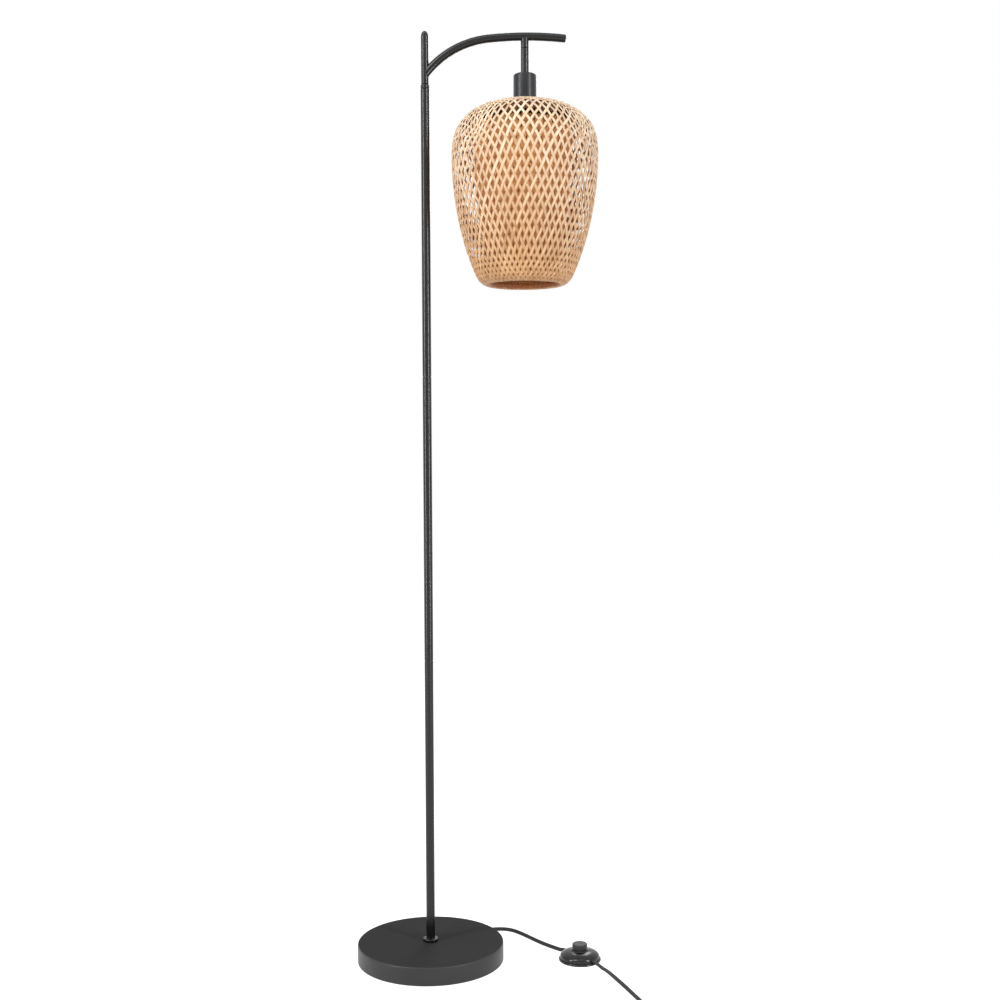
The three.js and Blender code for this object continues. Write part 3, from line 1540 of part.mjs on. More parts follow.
function makePlugBody() {
  const rings = plugLengthShares.map((share, i) => {
    const width = plugTailWidth + (plugWidth - plugTailWidth) * plugSwellShares[i];
    const height = plugTailHeight + (plugHeight - plugTailHeight) * plugSwellShares[i];
    return plugRing(plugLength * share, width, height);
  });
  const slots = [-1, 1].map((side) => {
    const width = (side < 0 ? bladeWidth : bladeWideWidth) + 2 * seatGap;
    const depth = bladeRoot + cutOverrun;
    const middle = plugLength - bladeRoot + depth / 2;
    return box(depth, bladeThickness + 2 * seatGap, width, middle, (side * bladeSpacing) / 2, 0);
  });
  return cut(skin(rings), ...slots);
}

function makeBlade(side, width) {
  const length = bladeRoot + bladeLength - seatGap;
  const start = plugLength - bladeRoot + seatGap;
  const y = (side * bladeSpacing) / 2;
  const strip = box(length, bladeThickness, width, start + length / 2, y, 0);
  const hole = new THREE.CylinderGeometry(
    bladeHoleDiameter / 2,
    bladeHoleDiameter / 2,
    bladeThickness + cutOverrun,
    12,
  ).translate(start + length - bladeHoleInset, y, 0);
  return cut(strip, hole);
}

const tail = coilPath[coilPath.length - 1];
const plugStart = tail.place.clone().addScaledVector(tail.heading, seatGap);
const plug = group(plugStart.x, plugStart.y, plugLevel);
plug.rotation.z = Math.atan2(tail.heading.y, tail.heading.x);
add(plug, "plug_body", makePlugBody(), blackMoulding);
add(plug, "plug_blade_narrow", makeBlade(-1, bladeWidth), brassMetal);
add(plug, "plug_blade_wide", makeBlade(1, bladeWideWidth), brassMetal);

// What the cord measures, for whoever builds it
function lengthOf(points) {
  return points.slice(1).reduce((sum, p, i) => sum + p.distanceTo(points[i]), 0);
}
const toSwitch = lengthOf(smooth(routeToSwitch, cordThickness));
const toCoil = lengthOf(smooth(routeToCoil, cordThickness));
const inCoil = lengthOf(coilPath.map((station) => station.place));
console.log(`least gap in the coil ${leastGap(coilRings).toFixed(2)} mm`);
console.log(`cord to the switch ${toSwitch.toFixed(0)}, on to the coil ${toCoil.toFixed(0)},`);
console.log(`in the coil ${inCoil.toFixed(0)}, in all ${(toSwitch + toCoil + inCoil).toFixed(0)} mm`);

export default lamp;
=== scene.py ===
"""Looks of a floor lamp: a black stand, a woven bamboo shade, and a flat cord with a foot switch.

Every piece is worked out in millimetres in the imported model's own frame (the pole stands on Z, the
arm points along +X) and becomes metres when its mesh is made.
"""

import json
import logging
import math
from dataclasses import dataclass, replace
from enum import Enum

import bmesh
import bpy
import numpy as np
from mathutils import Matrix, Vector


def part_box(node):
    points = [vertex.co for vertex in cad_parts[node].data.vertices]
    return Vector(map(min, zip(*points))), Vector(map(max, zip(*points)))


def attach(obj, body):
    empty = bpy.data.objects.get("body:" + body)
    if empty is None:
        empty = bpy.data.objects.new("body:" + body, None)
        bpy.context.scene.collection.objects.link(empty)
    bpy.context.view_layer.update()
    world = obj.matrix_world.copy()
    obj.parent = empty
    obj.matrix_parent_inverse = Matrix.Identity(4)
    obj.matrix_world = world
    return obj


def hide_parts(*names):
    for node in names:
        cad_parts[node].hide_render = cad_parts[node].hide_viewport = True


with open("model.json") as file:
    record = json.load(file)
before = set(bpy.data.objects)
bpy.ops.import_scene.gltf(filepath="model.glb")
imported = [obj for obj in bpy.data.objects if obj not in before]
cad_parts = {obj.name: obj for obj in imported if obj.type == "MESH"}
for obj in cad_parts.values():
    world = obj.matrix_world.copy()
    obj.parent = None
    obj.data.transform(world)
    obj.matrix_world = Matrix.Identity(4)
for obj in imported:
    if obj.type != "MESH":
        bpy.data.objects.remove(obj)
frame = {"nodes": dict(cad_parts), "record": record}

LOG = logging.getLogger("floor_lamp")
Points = np.ndarray
Pair = tuple[float, float]
Colour = tuple[float, float, float]
Socket = bpy.types.NodeSocket
Tint = Socket | Colour
Value = Socket | tuple | float

# Units and turns
MM = 0.001
QUARTER = math.pi / 2
FULL_TURN = 2 * math.pi

# Sizes in mm and turns that several sub-assemblies share
SEAM = 0.3
BASE_RADIUS = 127.0
CORD_EXIT_HEIGHT = 6.2
CORD_EXIT_ANGLE = math.radians(52)
RELIEF_REACH = 17.0
SHADE_X = 171.6
SWITCH_X = 259.2
SWITCH_Y = -21.4
SWITCH_ANGLE = math.radians(-54)

# A flat strip's corners, as shares of half its width and of its thickness
FLAT_STRIP = np.array([[-1.0, -0.5], [-1.0, 0.5], [1.0, 0.5], [1.0, -0.5]])
CROWNED_STRIP = np.array([[-1.0, -0.5], [-1.0, 0.1], [-0.62, 0.5], [0.62, 0.5], [1.0, 0.1], [1.0, -0.5]])


class Body(Enum):
    """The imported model's bodies."""

    LAMP = "lamp"
    BUTTON = "button"


# Surfaces


@dataclass
class Surface:
    """Points in mm with the faces between them.

    Args:
        points: One row of x, y, z for each point.
        faces: Arrays of point numbers, each array with faces of one kind, three or four corners.
        flow: Two numbers for each point: its place along and across the piece, for its UV map.
        tone: One number for each point, the shade of its own strand.
    """

    points: Points
    faces: list[Points]
    flow: Points | None = None
    tone: Points | None = None

    def moved(self, *offset: float) -> "Surface":
        """Returns the surface shifted by an offset in mm."""
        return replace(self, points=self.points + np.array(offset))

    def mapped(self, *axes: list[float]) -> "Surface":
        """Returns the surface with its own X, Y and Z laid along three given directions."""
        return replace(self, points=self.points @ np.array(axes))

    def turned(self, angle: float) -> "Surface":
        """Returns the surface turned about the Z axis by an angle in radians."""
        cos, sin = math.cos(angle), math.sin(angle)
        return self.mapped([cos, sin, 0.0], [-sin, cos, 0.0], [0.0, 0.0, 1.0])


def joined(*surfaces: Surface) -> Surface:
    """Joins surfaces that have a flow, each keeping its own points.

    Args:
        *surfaces: The surfaces, all with a tone or all without one.

    Returns:
        One surface that holds them all.
    """
    starts = np.cumsum([0] + [len(s.points) for s in surfaces[:-1]])
    faces = [f + start for s, start in zip(surfaces, starts) for f in s.faces]
    flow = np.concatenate([s.flow for s in surfaces])
    tone = np.concatenate([s.tone for s in surfaces]) if surfaces[0].tone is not None else None
    return Surface(np.concatenate([s.points for s in surfaces]), faces, flow, tone)


def unit(rows: Points) -> Points:
    """Returns vectors made one long, each over its own length."""
    return rows / np.linalg.norm(rows, axis=-1, keepdims=True)


def way_along(rows: Points) -> Points:
    """Returns each point's distance from the first along a line, the sum of the steps before it."""
    return np.concatenate([[0.0], np.cumsum(np.linalg.norm(np.diff(rows, axis=0), axis=1))])


def ease(share: Points) -> Points:
    """Returns a share eased in and out: three times its square less twice its cube."""
    held = np.clip(share, 0.0, 1.0)
    return held * held * (3 - 2 * held)


def closed(*stretches: Points | list) -> Points:
    """Returns one profile made of several stretches, with its first row once more at its end."""
    rows = np.vstack(stretches)
    return np.vstack([rows, rows[:1]])


def arc(centre: Pair, radius: float, start: float, end: float, steps: int) -> Points:
    """Returns points of a round stretch: centre + radius (cos a, sin a), a going from start to end."""
    angle = np.linspace(start, end, steps + 1)
    return np.stack([centre[0] + radius * np.cos(angle), centre[1] + radius * np.sin(angle)], axis=-1)


def outer_edge(radius: float, height: float, edge: float, steps: int = 8) -> Points:
    """Returns a turned part's round upper edge, a quarter arc from its side to its top."""
    return arc((radius - edge, height - edge), edge, 0.0, QUARTER, steps)


def ring_section(radius: float, sides: int = 48) -> Points:
    """Returns a round section's points, as across and through."""
    return arc((0.0, 0.0), radius, 0.0, FULL_TURN * (1 - 1 / sides), sides - 1)


def domed_plug(plug: Pair, radius: float, seat: float, height: float, steps: int) -> Points:
    """Works out the profile of a plug under half an oval.

    Formula: the dome's row at an angle a is (radius cos a, seat + height sin a), a over a quarter.

    Args:
        plug: The plug's radius and its foot's height.
        radius: The dome's radius.
        seat: The height at which the dome starts.
        height: How far the dome rises.
        steps: How many rows the dome has.

    Returns:
        Rows of radius and height, from the axis to the axis.
    """
    angle = np.linspace(0.0, QUARTER, steps)
    dome = np.stack([radius * np.cos(angle), seat + height * np.sin(angle)], axis=-1)
    dome[-1, 0] = 0.0
    return np.vstack([[[0.0, plug[1]], [plug[0], plug[1]], [plug[0], seat]], dome])


def pulled_curve(knots: list, steps: int) -> Points:
    """Works out a curve from its first knot to its fourth, pulled by the two between.

    Formula: the four knots are weighted by (1-t)^3, 3t (1-t)^2, 3t^2 (1-t) and t^3.

    Args:
        knots: Four rows of numbers.
        steps: How many steps the curve has.

    Returns:
        One row more than it has steps.
    """
    a, b, c, d = (np.asarray(k, float) for k in knots)
    t = np.linspace(0.0, 1.0, steps + 1)[:, None]
    return a * (1 - t) ** 3 + 3 * b * t * (1 - t) ** 2 + 3 * c * t**2 * (1 - t) + d * t**3


def smooth_path(points: Points, spacing: float, steps: int = 24) -> Points:
    """Runs a smooth curve through chosen points.

    Formula: the knots lie the square root of each chord apart, the tangents at the two ends of a
    span come from its neighbours, and a cubic with these tangents fills the span; the result is
    spaced evenly along its length.

    Args:
        points: Rows of x, y, z in mm.
        spacing: The distance between the returned points in mm.
        steps: How finely each span is worked out before it is spaced.

    Returns:
        Rows of x, y, z in mm.
    """
    p = np.vstack([2 * points[0] - points[1], points, 2 * points[-1] - points[-2]])
    step = np.diff(p, axis=0)
    gap = np.sqrt(np.linalg.norm(step, axis=1))[:, None]
    before, here, after = gap[:-2], gap[1:-1], gap[2:]
    leave = here * (step[:-2] / before - (step[:-2] + step[1:-1]) / (before + here) + step[1:-1] / here)
    arrive = here * (step[1:-1] / here - (step[1:-1] + step[2:]) / (here + after) + step[2:] / after)
    t = np.linspace(0.0, 1.0, steps + 1)[:-1][None, :, None]
    start, end = p[1:-2, None], p[2:-1, None]
    bent = start * (2 * t**3 - 3 * t**2 + 1) + leave[:, None] * (t**3 - 2 * t**2 + t)
    fine = bent + end * (3 * t**2 - 2 * t**3) + arrive[:, None] * (t**3 - t**2)
    fine = np.vstack([fine.reshape(-1, 3), points[-1]])
    way = way_along(fine)
    even = np.linspace(0.0, way[-1], round(way[-1] / spacing) + 1)
    return np.stack([np.interp(even, way, fine[:, k]) for k in range(3)], axis=-1)


def wander(count: int, steps: int, waves: int, seed: int) -> Points:
    """Draws soft random lines, each a sum of a few sine waves with seeded sizes and phases.

    Args:
        count: How many lines.
        steps: How many values a line has.
        waves: How many half waves the shortest one has over the line's length.
        seed: The random generator's seed.

    Returns:
        An array (count, steps) whose values are held within 1.6.
    """
    draw = np.random.default_rng(seed)
    share = np.linspace(0.0, 1.0, steps)[None, None]
    wave = np.arange(1, waves + 1)[None, :, None]
    phase = draw.uniform(0.0, FULL_TURN, (count, waves, 1))
    size = draw.normal(0.0, 1.0, (count, waves, 1)) / math.sqrt(waves)
    return np.clip((size * np.sin(FULL_TURN * wave * share * 0.5 + phase)).sum(axis=1), -1.6, 1.6)


def grid_faces(rows: int, columns: int) -> Points:
    """Numbers the faces of a grid whose columns close on themselves.

    Formula: face(i, j) joins points (i, j), (i, j+1), (i+1, j+1), (i+1, j), with j taken round.

    Args:
        rows: How many rows of points the grid has.
        columns: How many points a row has.

    Returns:
        Rows of four point numbers.
    """
    i, j = np.meshgrid(np.arange(rows - 1), np.arange(columns), indexing="ij")
    k = (j + 1) % columns
    corners = [i * columns + j, i * columns + k, (i + 1) * columns + k, (i + 1) * columns + j]
    return np.stack(corners, axis=-1).reshape(-1, 4)


def lathe(profile: Points, sides: int = 96) -> Surface:
    """Turns a profile round the Z axis.

    Formula: point(i, j) = (r_i cos a_j, r_i sin a_j, z_i), with a_j spread evenly over a full turn.

    Args:
        profile: Rows of radius and height in mm. A closed wall repeats its first row at its end.
        sides: How many steps the full turn has.

    Returns:
        The turned surface, its flow being the turn in mm and the way along the profile.
    """
    angle = np.arange(sides) * FULL_TURN / sides
    ring = np.stack([np.cos(angle), np.sin(angle)], axis=-1)
    flat = profile[:, None, :1] * ring[None]
    heights = np.broadcast_to(profile[:, None, 1:], flat.shape[:2] + (1,))
    points = np.concatenate([flat, heights], axis=-1)
    turn = angle[None] * profile[:, :1].max()
    flow = np.stack(np.broadcast_arrays(turn, way_along(profile)[:, None]), axis=-1)
    return Surface(points.reshape(-1, 3), [grid_faces(len(profile), sides)], flow.reshape(-1, 2))


def tube(rings: Points, capped: bool = True) -> Surface:
    """Skins rows of rings into closed tubes.

    Formula: each ring's point j is joined to the next ring's point j; a cap is a fan of triangles
    from the end ring's first point.

    Args:
        rings: An array (tubes, rings, points of a ring, 3), or the same without its first axis.
        capped: Whether both ends are closed.

    Returns:
        One surface that holds all tubes.
    """
    many = rings if rings.ndim == 4 else rings[None]
    tubes, count, around, _ = many.shape
    starts = (np.arange(tubes) * count * around)[:, None, None]
    faces = [(grid_faces(count, around)[None] + starts).reshape(-1, 4)]
    if capped:
        fan = np.stack([np.zeros(around - 2, int), np.arange(2, around), np.arange(1, around - 1)], axis=-1)
        far = fan[:, ::-1] + (count - 1) * around
        faces += [(fan[None] + starts).reshape(-1, 3), (far[None] + starts).reshape(-1, 3)]
    return Surface(many.reshape(-1, 3), faces)


def swept(path: Points, section: Points, across: Points) -> Surface:
    """Carries a flat section along a path.

    Formula: ring point = path point + a * across + t * through, where through is square to across
    and to the heading.

    Args:
        path: Rows of x, y, z in mm.
        section: Rows of a and t in mm, either one section or one for each path point.
        across: The unit direction across the section at each path point.

    Returns:
        A closed tube whose flow is the way along the path and the place across it.
    """
    through = np.cross(across, unit(np.gradient(path, axis=0)))
    cut = np.broadcast_to(section, (len(path),) + np.shape(section)[-2:])
    surface = tube(path[:, None] + cut[..., :1] * across[:, None] + cut[..., 1:] * through[:, None])
    flow = np.broadcast_arrays(way_along(path)[:, None], cut[..., 0])
    return replace(surface, flow=np.stack(flow, axis=-1).reshape(-1, 2))


def node_span(node: str) -> tuple[Points, Points]:
    """Returns a CAD node's lowest and highest corners in mm."""
    low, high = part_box(node)
    return np.array(low) / MM, np.array(high) / MM


def make_piece(
    name: str,
    surface: Surface,
    finish: "Finish",
    replaces: tuple[str, ...] = (),
    body: Body = Body.LAMP,
) -> bpy.types.Object:
    """Makes a Blender object from a surface, dresses it, and lets it ride on a body.

    Args:
        name: The piece's name.
        surface: Its points and faces in mm.
        finish: The finish it wears.
        replaces: The CAD nodes that it stands for.
        body: The body that it moves with.

    Returns:
        The object, at the origin, unturned and unscaled.
    """
    merge_distance, sharp_angle = 1e-6, math.radians(32)
    mesh = bpy.data.meshes.new(name)
    corners = np.concatenate([f.ravel() for f in surface.faces]).astype(np.int32)
    totals = np.concatenate([np.full(len(f), f.shape[1]) for f in surface.faces])
    starts = np.concatenate([[0], np.cumsum(totals)[:-1]]).astype(np.int32)
    mesh.vertices.add(len(surface.points))
    mesh.vertices.foreach_set("co", (surface.points * MM).astype(np.float32).ravel())
    mesh.loops.add(len(corners))
    mesh.loops.foreach_set("vertex_index", corners)
    mesh.polygons.add(len(totals))
    mesh.polygons.foreach_set("loop_start", starts)
    if surface.flow is not None:
        layer = mesh.uv_layers.new(name="flow")
        layer.data.foreach_set("uv", (surface.flow[corners] * MM).astype(np.float32).ravel())
    if surface.tone is not None:
        tone = mesh.attributes.new("tone", "FLOAT", "POINT")
        tone.data.foreach_set("value", surface.tone.astype(np.float32))
    mesh.update(calc_edges=True)
    mesh.validate()
    tidy = bmesh.new()
    tidy.from_mesh(mesh)
    bmesh.ops.remove_doubles(tidy, verts=tidy.verts, dist=merge_distance)
    bmesh.ops.recalc_face_normals(tidy, faces=tidy.faces)
    tidy.to_mesh(mesh)
    tidy.free()
    mesh.shade_smooth()
    mesh.set_sharp_from_angle(angle=sharp_angle)
    piece = bpy.data.objects.new(name, mesh)
    bpy.context.scene.collection.objects.link(piece)
    mesh.materials.append(finish.material())
    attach(piece, body.value)
    if replaces:
        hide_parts(*replaces)
    LOG.info("%s: %d faces", name, len(mesh.polygons))
    return piece


# Finishes


MADE: dict[str, bpy.types.Material] = {}


def shade_of(red: int, green: int, blue: int) -> Colour:
    """Turns a colour as it looks on a screen into the linear numbers of a shader.

    Args:
        red: Its red, 0 to 255.
        green: Its green, 0 to 255.
        blue: Its blue, 0 to 255.

    Returns:
        Its linear red, green and blue, 0 to 1.
    """
    share = np.array([red, green, blue]) / 255
    linear = np.where(share <= 0.04045, share / 12.92, ((share + 0.055) / 1.055) ** 2.4)
    return tuple(float(v) for v in linear)


def scaled(colour: Colour, share: float) -> Colour:
    """Returns a colour made lighter or darker by a share."""
    return tuple(min(1.0, v * share) for v in colour)


class NodeBoard:
    """Builds the nodes of one material, or of the world."""

    def __init__(self, tree: bpy.types.ShaderNodeTree) -> None:
        """Starts on a tree of nodes."""
        self.tree = tree

    @property
    def shader(self) -> bpy.types.Node:
        """The material's Principled shader."""
        return self.tree.nodes["Principled BSDF"]

    def add(self, kind: str, inputs: dict | None = None, **settings: str) -> bpy.types.Node:
        """Adds a node.

        Args:
            kind: The node's type.
            inputs: Values or output sockets for its inputs, by name or number.
            **settings: The node's own settings.

        Returns:
            The node.
        """
        node = self.tree.nodes.new(kind)
        for key, value in settings.items():
            setattr(node, key, value)
        for key, value in (inputs or {}).items():
            self.put(node.inputs[key], value)
        return node

    def put(self, socket: Socket, value: Value) -> None:
        """Links an output to an input, or sets the input's own value.

        Args:
            socket: The input.
            value: Another node's output, or a number or colour that is the same all over.
        """
        if isinstance(value, Socket):
            self.tree.links.new(value, socket)
        else:
            socket.default_value = value

    def lay(self, **values: Value) -> None:
        """Puts values or outputs into the shader's inputs, named with _ for each space."""
        for key, value in values.items():
            self.put(self.shader.inputs[key.replace("_", " ")], value)

    def place(self, stretch: tuple[float, float, float] = (1.0, 1.0, 1.0), source: str = "Object") -> Socket:
        """Adds the coordinates that a pattern follows.

        Args:
            stretch: How many times each axis is stretched.
            source: Object for places on the object, or UV for its flow map.

        Returns:
            The coordinates.
        """
        coordinates = self.add("ShaderNodeTexCoord")
        mapping = self.add("ShaderNodeMapping", {"Vector": coordinates.outputs[source], "Scale": stretch})
        return mapping.outputs["Vector"]

    def noise(self, place: Socket, scale: float, detail: float = 3.0, rough: float = 0.5) -> Socket:
        """Returns a cloud noise at a scale in features per metre."""
        inputs = {"Vector": place, "Scale": scale, "Detail": detail, "Roughness": rough}
        return self.add("ShaderNodeTexNoise", inputs).outputs["Fac"]

    def ramp(self, factor: Socket, *stops: tuple[float, Colour]) -> Socket:
        """Adds a ramp of colours.

        Args:
            factor: What the colour follows.
            *stops: Pairs of a place, 0 to 1, and the colour there.

        Returns:
            The colour at the factor.
        """
        node = self.add("ShaderNodeValToRGB", {"Fac": factor})
        elements = node.color_ramp.elements
        while len(elements) < len(stops):
            elements.new(0.5)
        for element, (spot, colour) in zip(elements, stops):
            element.position = spot
            element.color = (*colour, 1.0)
        return node.outputs["Color"]

    def span(self, factor: Socket, low: float, high: float, start: float = 0.3, end: float = 0.7) -> Socket:
        """Returns a number that goes from low to high as the factor goes from start to end."""
        inputs = {"Value": factor, "From Min": start, "From Max": end, "To Min": low, "To Max": high}
        return self.add("ShaderNodeMapRange", inputs).outputs["Result"]

    def bump(self, height: Socket, strength: float, distance: float) -> Socket:
        """Returns the normal that a height gives, at a strength and a depth in metres."""
        inputs = {"Height": height, "Strength": strength, "Distance": distance}
        return self.add("ShaderNodeBump", inputs).outputs["Normal"]

    def mix(self, factor: Socket, first: Tint, second: Tint, blend: str = "MIX") -> Socket:
        """Mixes two colours.

        Args:
            factor: How far the second one counts, 0 to 1.
            first: The first colour.
            second: The second colour.
            blend: The way of mixing, by the node's own name for it.

        Returns:
            The mixed colour.
        """
        node = self.add("ShaderNodeMix", {"Factor": factor}, data_type="RGBA", blend_type=blend)
        for number, colour in ((6, first), (7, second)):
            self.put(node.inputs[number], (*colour, 1.0) if isinstance(colour, tuple) else colour)
        return node.outputs[2]

    def sum_of(self, operation: str, first: Socket, second: Socket | float = 0.0) -> Socket:
        """Returns the result of a sum on one or two numbers."""
        node = self.add("ShaderNodeMath", {0: first, 1: second}, operation=operation)
        return node.outputs["Value"]


@dataclass(frozen=True)
class Finish:
    """A finish that a piece wears.

    Args:
        name: The material's name.
        slot: The record's material slot.
        colour: Its main colour.
        roughness: Its middle roughness.
    """

    name: str
    slot: str
    colour: Colour
    roughness: float

    def material(self) -> bpy.types.Material:
        """Gives the finish its material, made on its first use.

        Returns:
            The material.
        """
        if self.name not in MADE:
            MADE[self.name] = bpy.data.materials.new(self.name)
            MADE[self.name].use_nodes = True
            self.dress(NodeBoard(MADE[self.name].node_tree))
        return MADE[self.name]

    def dress(self, board: NodeBoard) -> None:
        """Lays the finish on the shader, as each kind of finish does in its own way."""
        raise NotImplementedError

    def clouded(self, board: NodeBoard, factor: Socket, shares: Pair, stops: Pair = (0.3, 0.7)) -> Socket:
        """Lets the main colour come and go.

        Args:
            board: The material's nodes.
            factor: The pattern that the colour follows.
            shares: What the colour is multiplied by at its darkest and palest.
            stops: The pattern's values at which it is darkest and palest.

        Returns:
            The colour.
        """
        return board.ramp(factor, *((stop, scaled(self.colour, share)) for stop, share in zip(stops, shares)))

    def rubbed(self, board: NodeBoard, factor: Socket, below: float, above: float) -> Socket:
        """Returns a roughness from so far below to so far above its middle, as the factor grows."""
        return board.span(factor, self.roughness - below, self.roughness + above)


@dataclass(frozen=True)
class Paint(Finish):
    """Powder paint: a fine orange peel, faint clouds, and a few dusty specks.

    Args:
        peel: How strongly the fine grain stands.
        shine: How much it mirrors, half being a plain gloss.
        dust: How far its specks are paler.
    """

    peel: float = 0.18
    shine: float = 0.4
    dust: float = 0.12

    def dress(self, board: NodeBoard) -> None:
        """Lays clouds on the colour and roughness, and the orange peel on the normal.

        Args:
            board: The material's nodes.
        """
        place = board.place()
        cloud = board.noise(place, scale=14.0, detail=4.0)
        grain = board.noise(place, scale=700.0, detail=2.0)
        speck = board.noise(place, scale=420.0, detail=1.0)
        dust = board.span(speck, 0.0, self.dust, start=0.68, end=0.8)
        body = self.clouded(board, cloud, (0.88, 1.12))
        board.lay(Base_Color=board.mix(dust, body, scaled(self.colour, 2.2)))
        board.lay(Roughness=self.rubbed(board, cloud, 0.03, 0.05), Specular_IOR_Level=self.shine)
        board.lay(Normal=board.bump(grain, self.peel, distance=0.0002))


@dataclass(frozen=True)
class Moulding(Finish):
    """Moulded plastic: a fine spark texture and a soft skin.

    Args:
        grain: Features of the texture per metre.
        depth: How strongly the texture stands.
        shine: How much it mirrors, half being a plain gloss.
    """

    grain: float = 1800.0
    depth: float = 0.2
    shine: float = 0.3

    def dress(self, board: NodeBoard) -> None:
        """Lays the spark texture on the normal and faint flow clouds on colour and roughness.

        Args:
            board: The material's nodes.
        """
        place = board.place()
        flow = board.noise(place, scale=30.0)
        spark = board.noise(place, self.grain, detail=2.0)
        board.lay(Base_Color=self.clouded(board, flow, (0.85, 1.15)))
        board.lay(Roughness=self.rubbed(board, flow, 0.04, 0.05), Specular_IOR_Level=self.shine)
        board.lay(Normal=board.bump(spark, self.depth, distance=0.00015))


@dataclass(frozen=True)
class Jacket(Finish):
    """A cord's soft plastic jacket: a drawn skin with faint lines along it and a dull bloom."""

    def dress(self, board: NodeBoard) -> None:
        """Lays drawn lines along the cord, and a bloom that comes and goes.

        Args:
            board: The material's nodes.
        """
        drawn = board.noise(board.place((12.0, 900.0, 1.0), "UV"), scale=1.0)
        bloom = board.noise(board.place(source="UV"), scale=40.0)
        board.lay(Base_Color=self.clouded(board, bloom, (0.82, 1.2), (0.3, 0.72)))
        board.lay(Roughness=self.rubbed(board, bloom, 0.07, 0.07), Specular_IOR_Level=0.3)
        board.lay(Normal=board.bump(drawn, 0.3, distance=0.00008))


@dataclass(frozen=True)
class Metal(Finish):
    """Bare or plated metal: turned lines round it, faint clouds and handling marks."""

    def dress(self, board: NodeBoard) -> None:
        """Lays turned lines on the normal and marks on the roughness.

        Args:
            board: The material's nodes.
        """
        turned = board.noise(board.place((1.0, 1.0, 60.0)), scale=90.0)
        marks = board.noise(board.place(), scale=160.0, detail=5.0)
        board.lay(Base_Color=self.clouded(board, marks, (0.8, 1.08)), Metallic=1.0)
        board.lay(Roughness=self.rubbed(board, marks, 0.07, 0.12))
        board.lay(Normal=board.bump(turned, 0.15, distance=0.0001))


@dataclass(frozen=True)
class Mineral(Finish):
    """Cast cement, foam or glazed ware: cells or pores of one size over soft clouds.

    Args:
        cells: Pores per metre.
        pitted: How strongly the pores stand.
    """

    cells: float = 300.0
    pitted: float = 0.6

    def dress(self, board: NodeBoard) -> None:
        """Lays pores from a cell pattern on the normal, and clouds on the colour, with a painted shade in the
        pores' pits.

        Args:
            board: The material's nodes.
        """
        place = board.place()
        cell = board.add("ShaderNodeTexVoronoi", {"Vector": place, "Scale": self.cells}).outputs["Distance"]
        cloud = board.noise(place, scale=25.0, detail=5.0, rough=0.6)
        tint = self.clouded(board, cloud, (0.75, 1.15), (0.25, 0.75))
        # Painted shade: the pores' pits are darker.
        pore_shade = board.span(cell, 0.35, 0.0, start=0.0, end=0.5)
        board.lay(Base_Color=board.mix(pore_shade, tint, scaled(self.colour, 0.4)))
        board.lay(Roughness=self.rubbed(board, cloud, 0.08, 0.05))
        board.lay(Normal=board.bump(cell, self.pitted, distance=0.0006))


@dataclass(frozen=True)
class Splint(Finish):
    """Split bamboo: fibres along each splint, its own shade, darker joints and shaved edges, under a painted
    shade low on the shade and inside its mouth.

    Args:
        pale: The colour of the palest fibre.
        dark: The colour of edges and joints.
        throat_shade: The colour inside the mouth, where the tone passes one: a painted shade.
        low_shade_tint: What the colour is multiplied by towards the shade's mouth, a painted shade that is
            darker and warmer lower down.
        half_width: Half a splint's width in metres, where its edges darken.
    """

    pale: Colour
    dark: Colour
    throat_shade: Colour = (0.2, 0.1, 0.04)
    low_shade_tint: Colour = (0.83, 0.61, 0.39)
    half_width: float = 0.0024

    def dress(self, board: NodeBoard) -> None:
        """Lays fibres, joints and each splint's own shade on the colour, with painted shade low down and in
        the mouth, and fibres on the normal.

        Args:
            board: The material's nodes.
        """
        fibre = board.noise(board.place((26.0, 2600.0, 1.0), "UV"), scale=1.0, detail=4.0, rough=0.6)
        own = board.add("ShaderNodeAttribute", attribute_name="tone").outputs["Fac"]
        body = board.ramp(fibre, (0.22, scaled(self.colour, 0.78)), (0.5, self.colour), (0.78, self.pale))
        shaded = board.mix(board.span(own, 0.0, 0.42, start=0.35, end=1.0), body, self.dark)
        lit = board.mix(board.span(own, 0.4, 0.0, start=0.0, end=0.55), shaded, self.pale)

        blotch = board.noise(board.place(), scale=38.0, detail=4.0, rough=0.6)
        blotched = board.span(blotch, 0.0, 0.3, start=0.45, end=0.75)
        cloudy = board.mix(blotched, lit, scaled(self.colour, 0.6))

        across = board.add("ShaderNodeSeparateXYZ", {"Vector": board.place(source="UV")}).outputs["Y"]
        side = board.sum_of("ABSOLUTE", across)
        shaved = board.span(side, 0.0, 0.45, start=self.half_width * 0.62, end=self.half_width)
        joint = board.noise(board.place((9.0, 0.0, 0.0), "UV"), scale=1.0, detail=0.0)
        knot = board.span(joint, 0.0, 0.5, start=0.715, end=0.735)
        edged = board.mix(knot, board.mix(shaved, cloudy, self.dark), self.dark)

        # Painted shade: darker and warmer towards the bottom of the shade.
        height = board.add("ShaderNodeSeparateXYZ", {"Vector": board.place()}).outputs["Z"]
        low = board.span(height, 1.0, 0.0, start=1.17, end=1.45)
        low_shaded = board.mix(low, edged, self.low_shade_tint, "MULTIPLY")
        # Painted shade inside the mouth, where the tone passes one.
        inside = board.span(own, 0.0, 1.0, start=1.0, end=2.0)
        board.lay(Base_Color=board.mix(inside, low_shaded, self.throat_shade), Sheen_Weight=0.05)
        board.lay(Roughness=self.rubbed(board, fibre, 0.12, 0.1))
        board.lay(Normal=board.bump(fibre, 0.45, distance=0.0002))


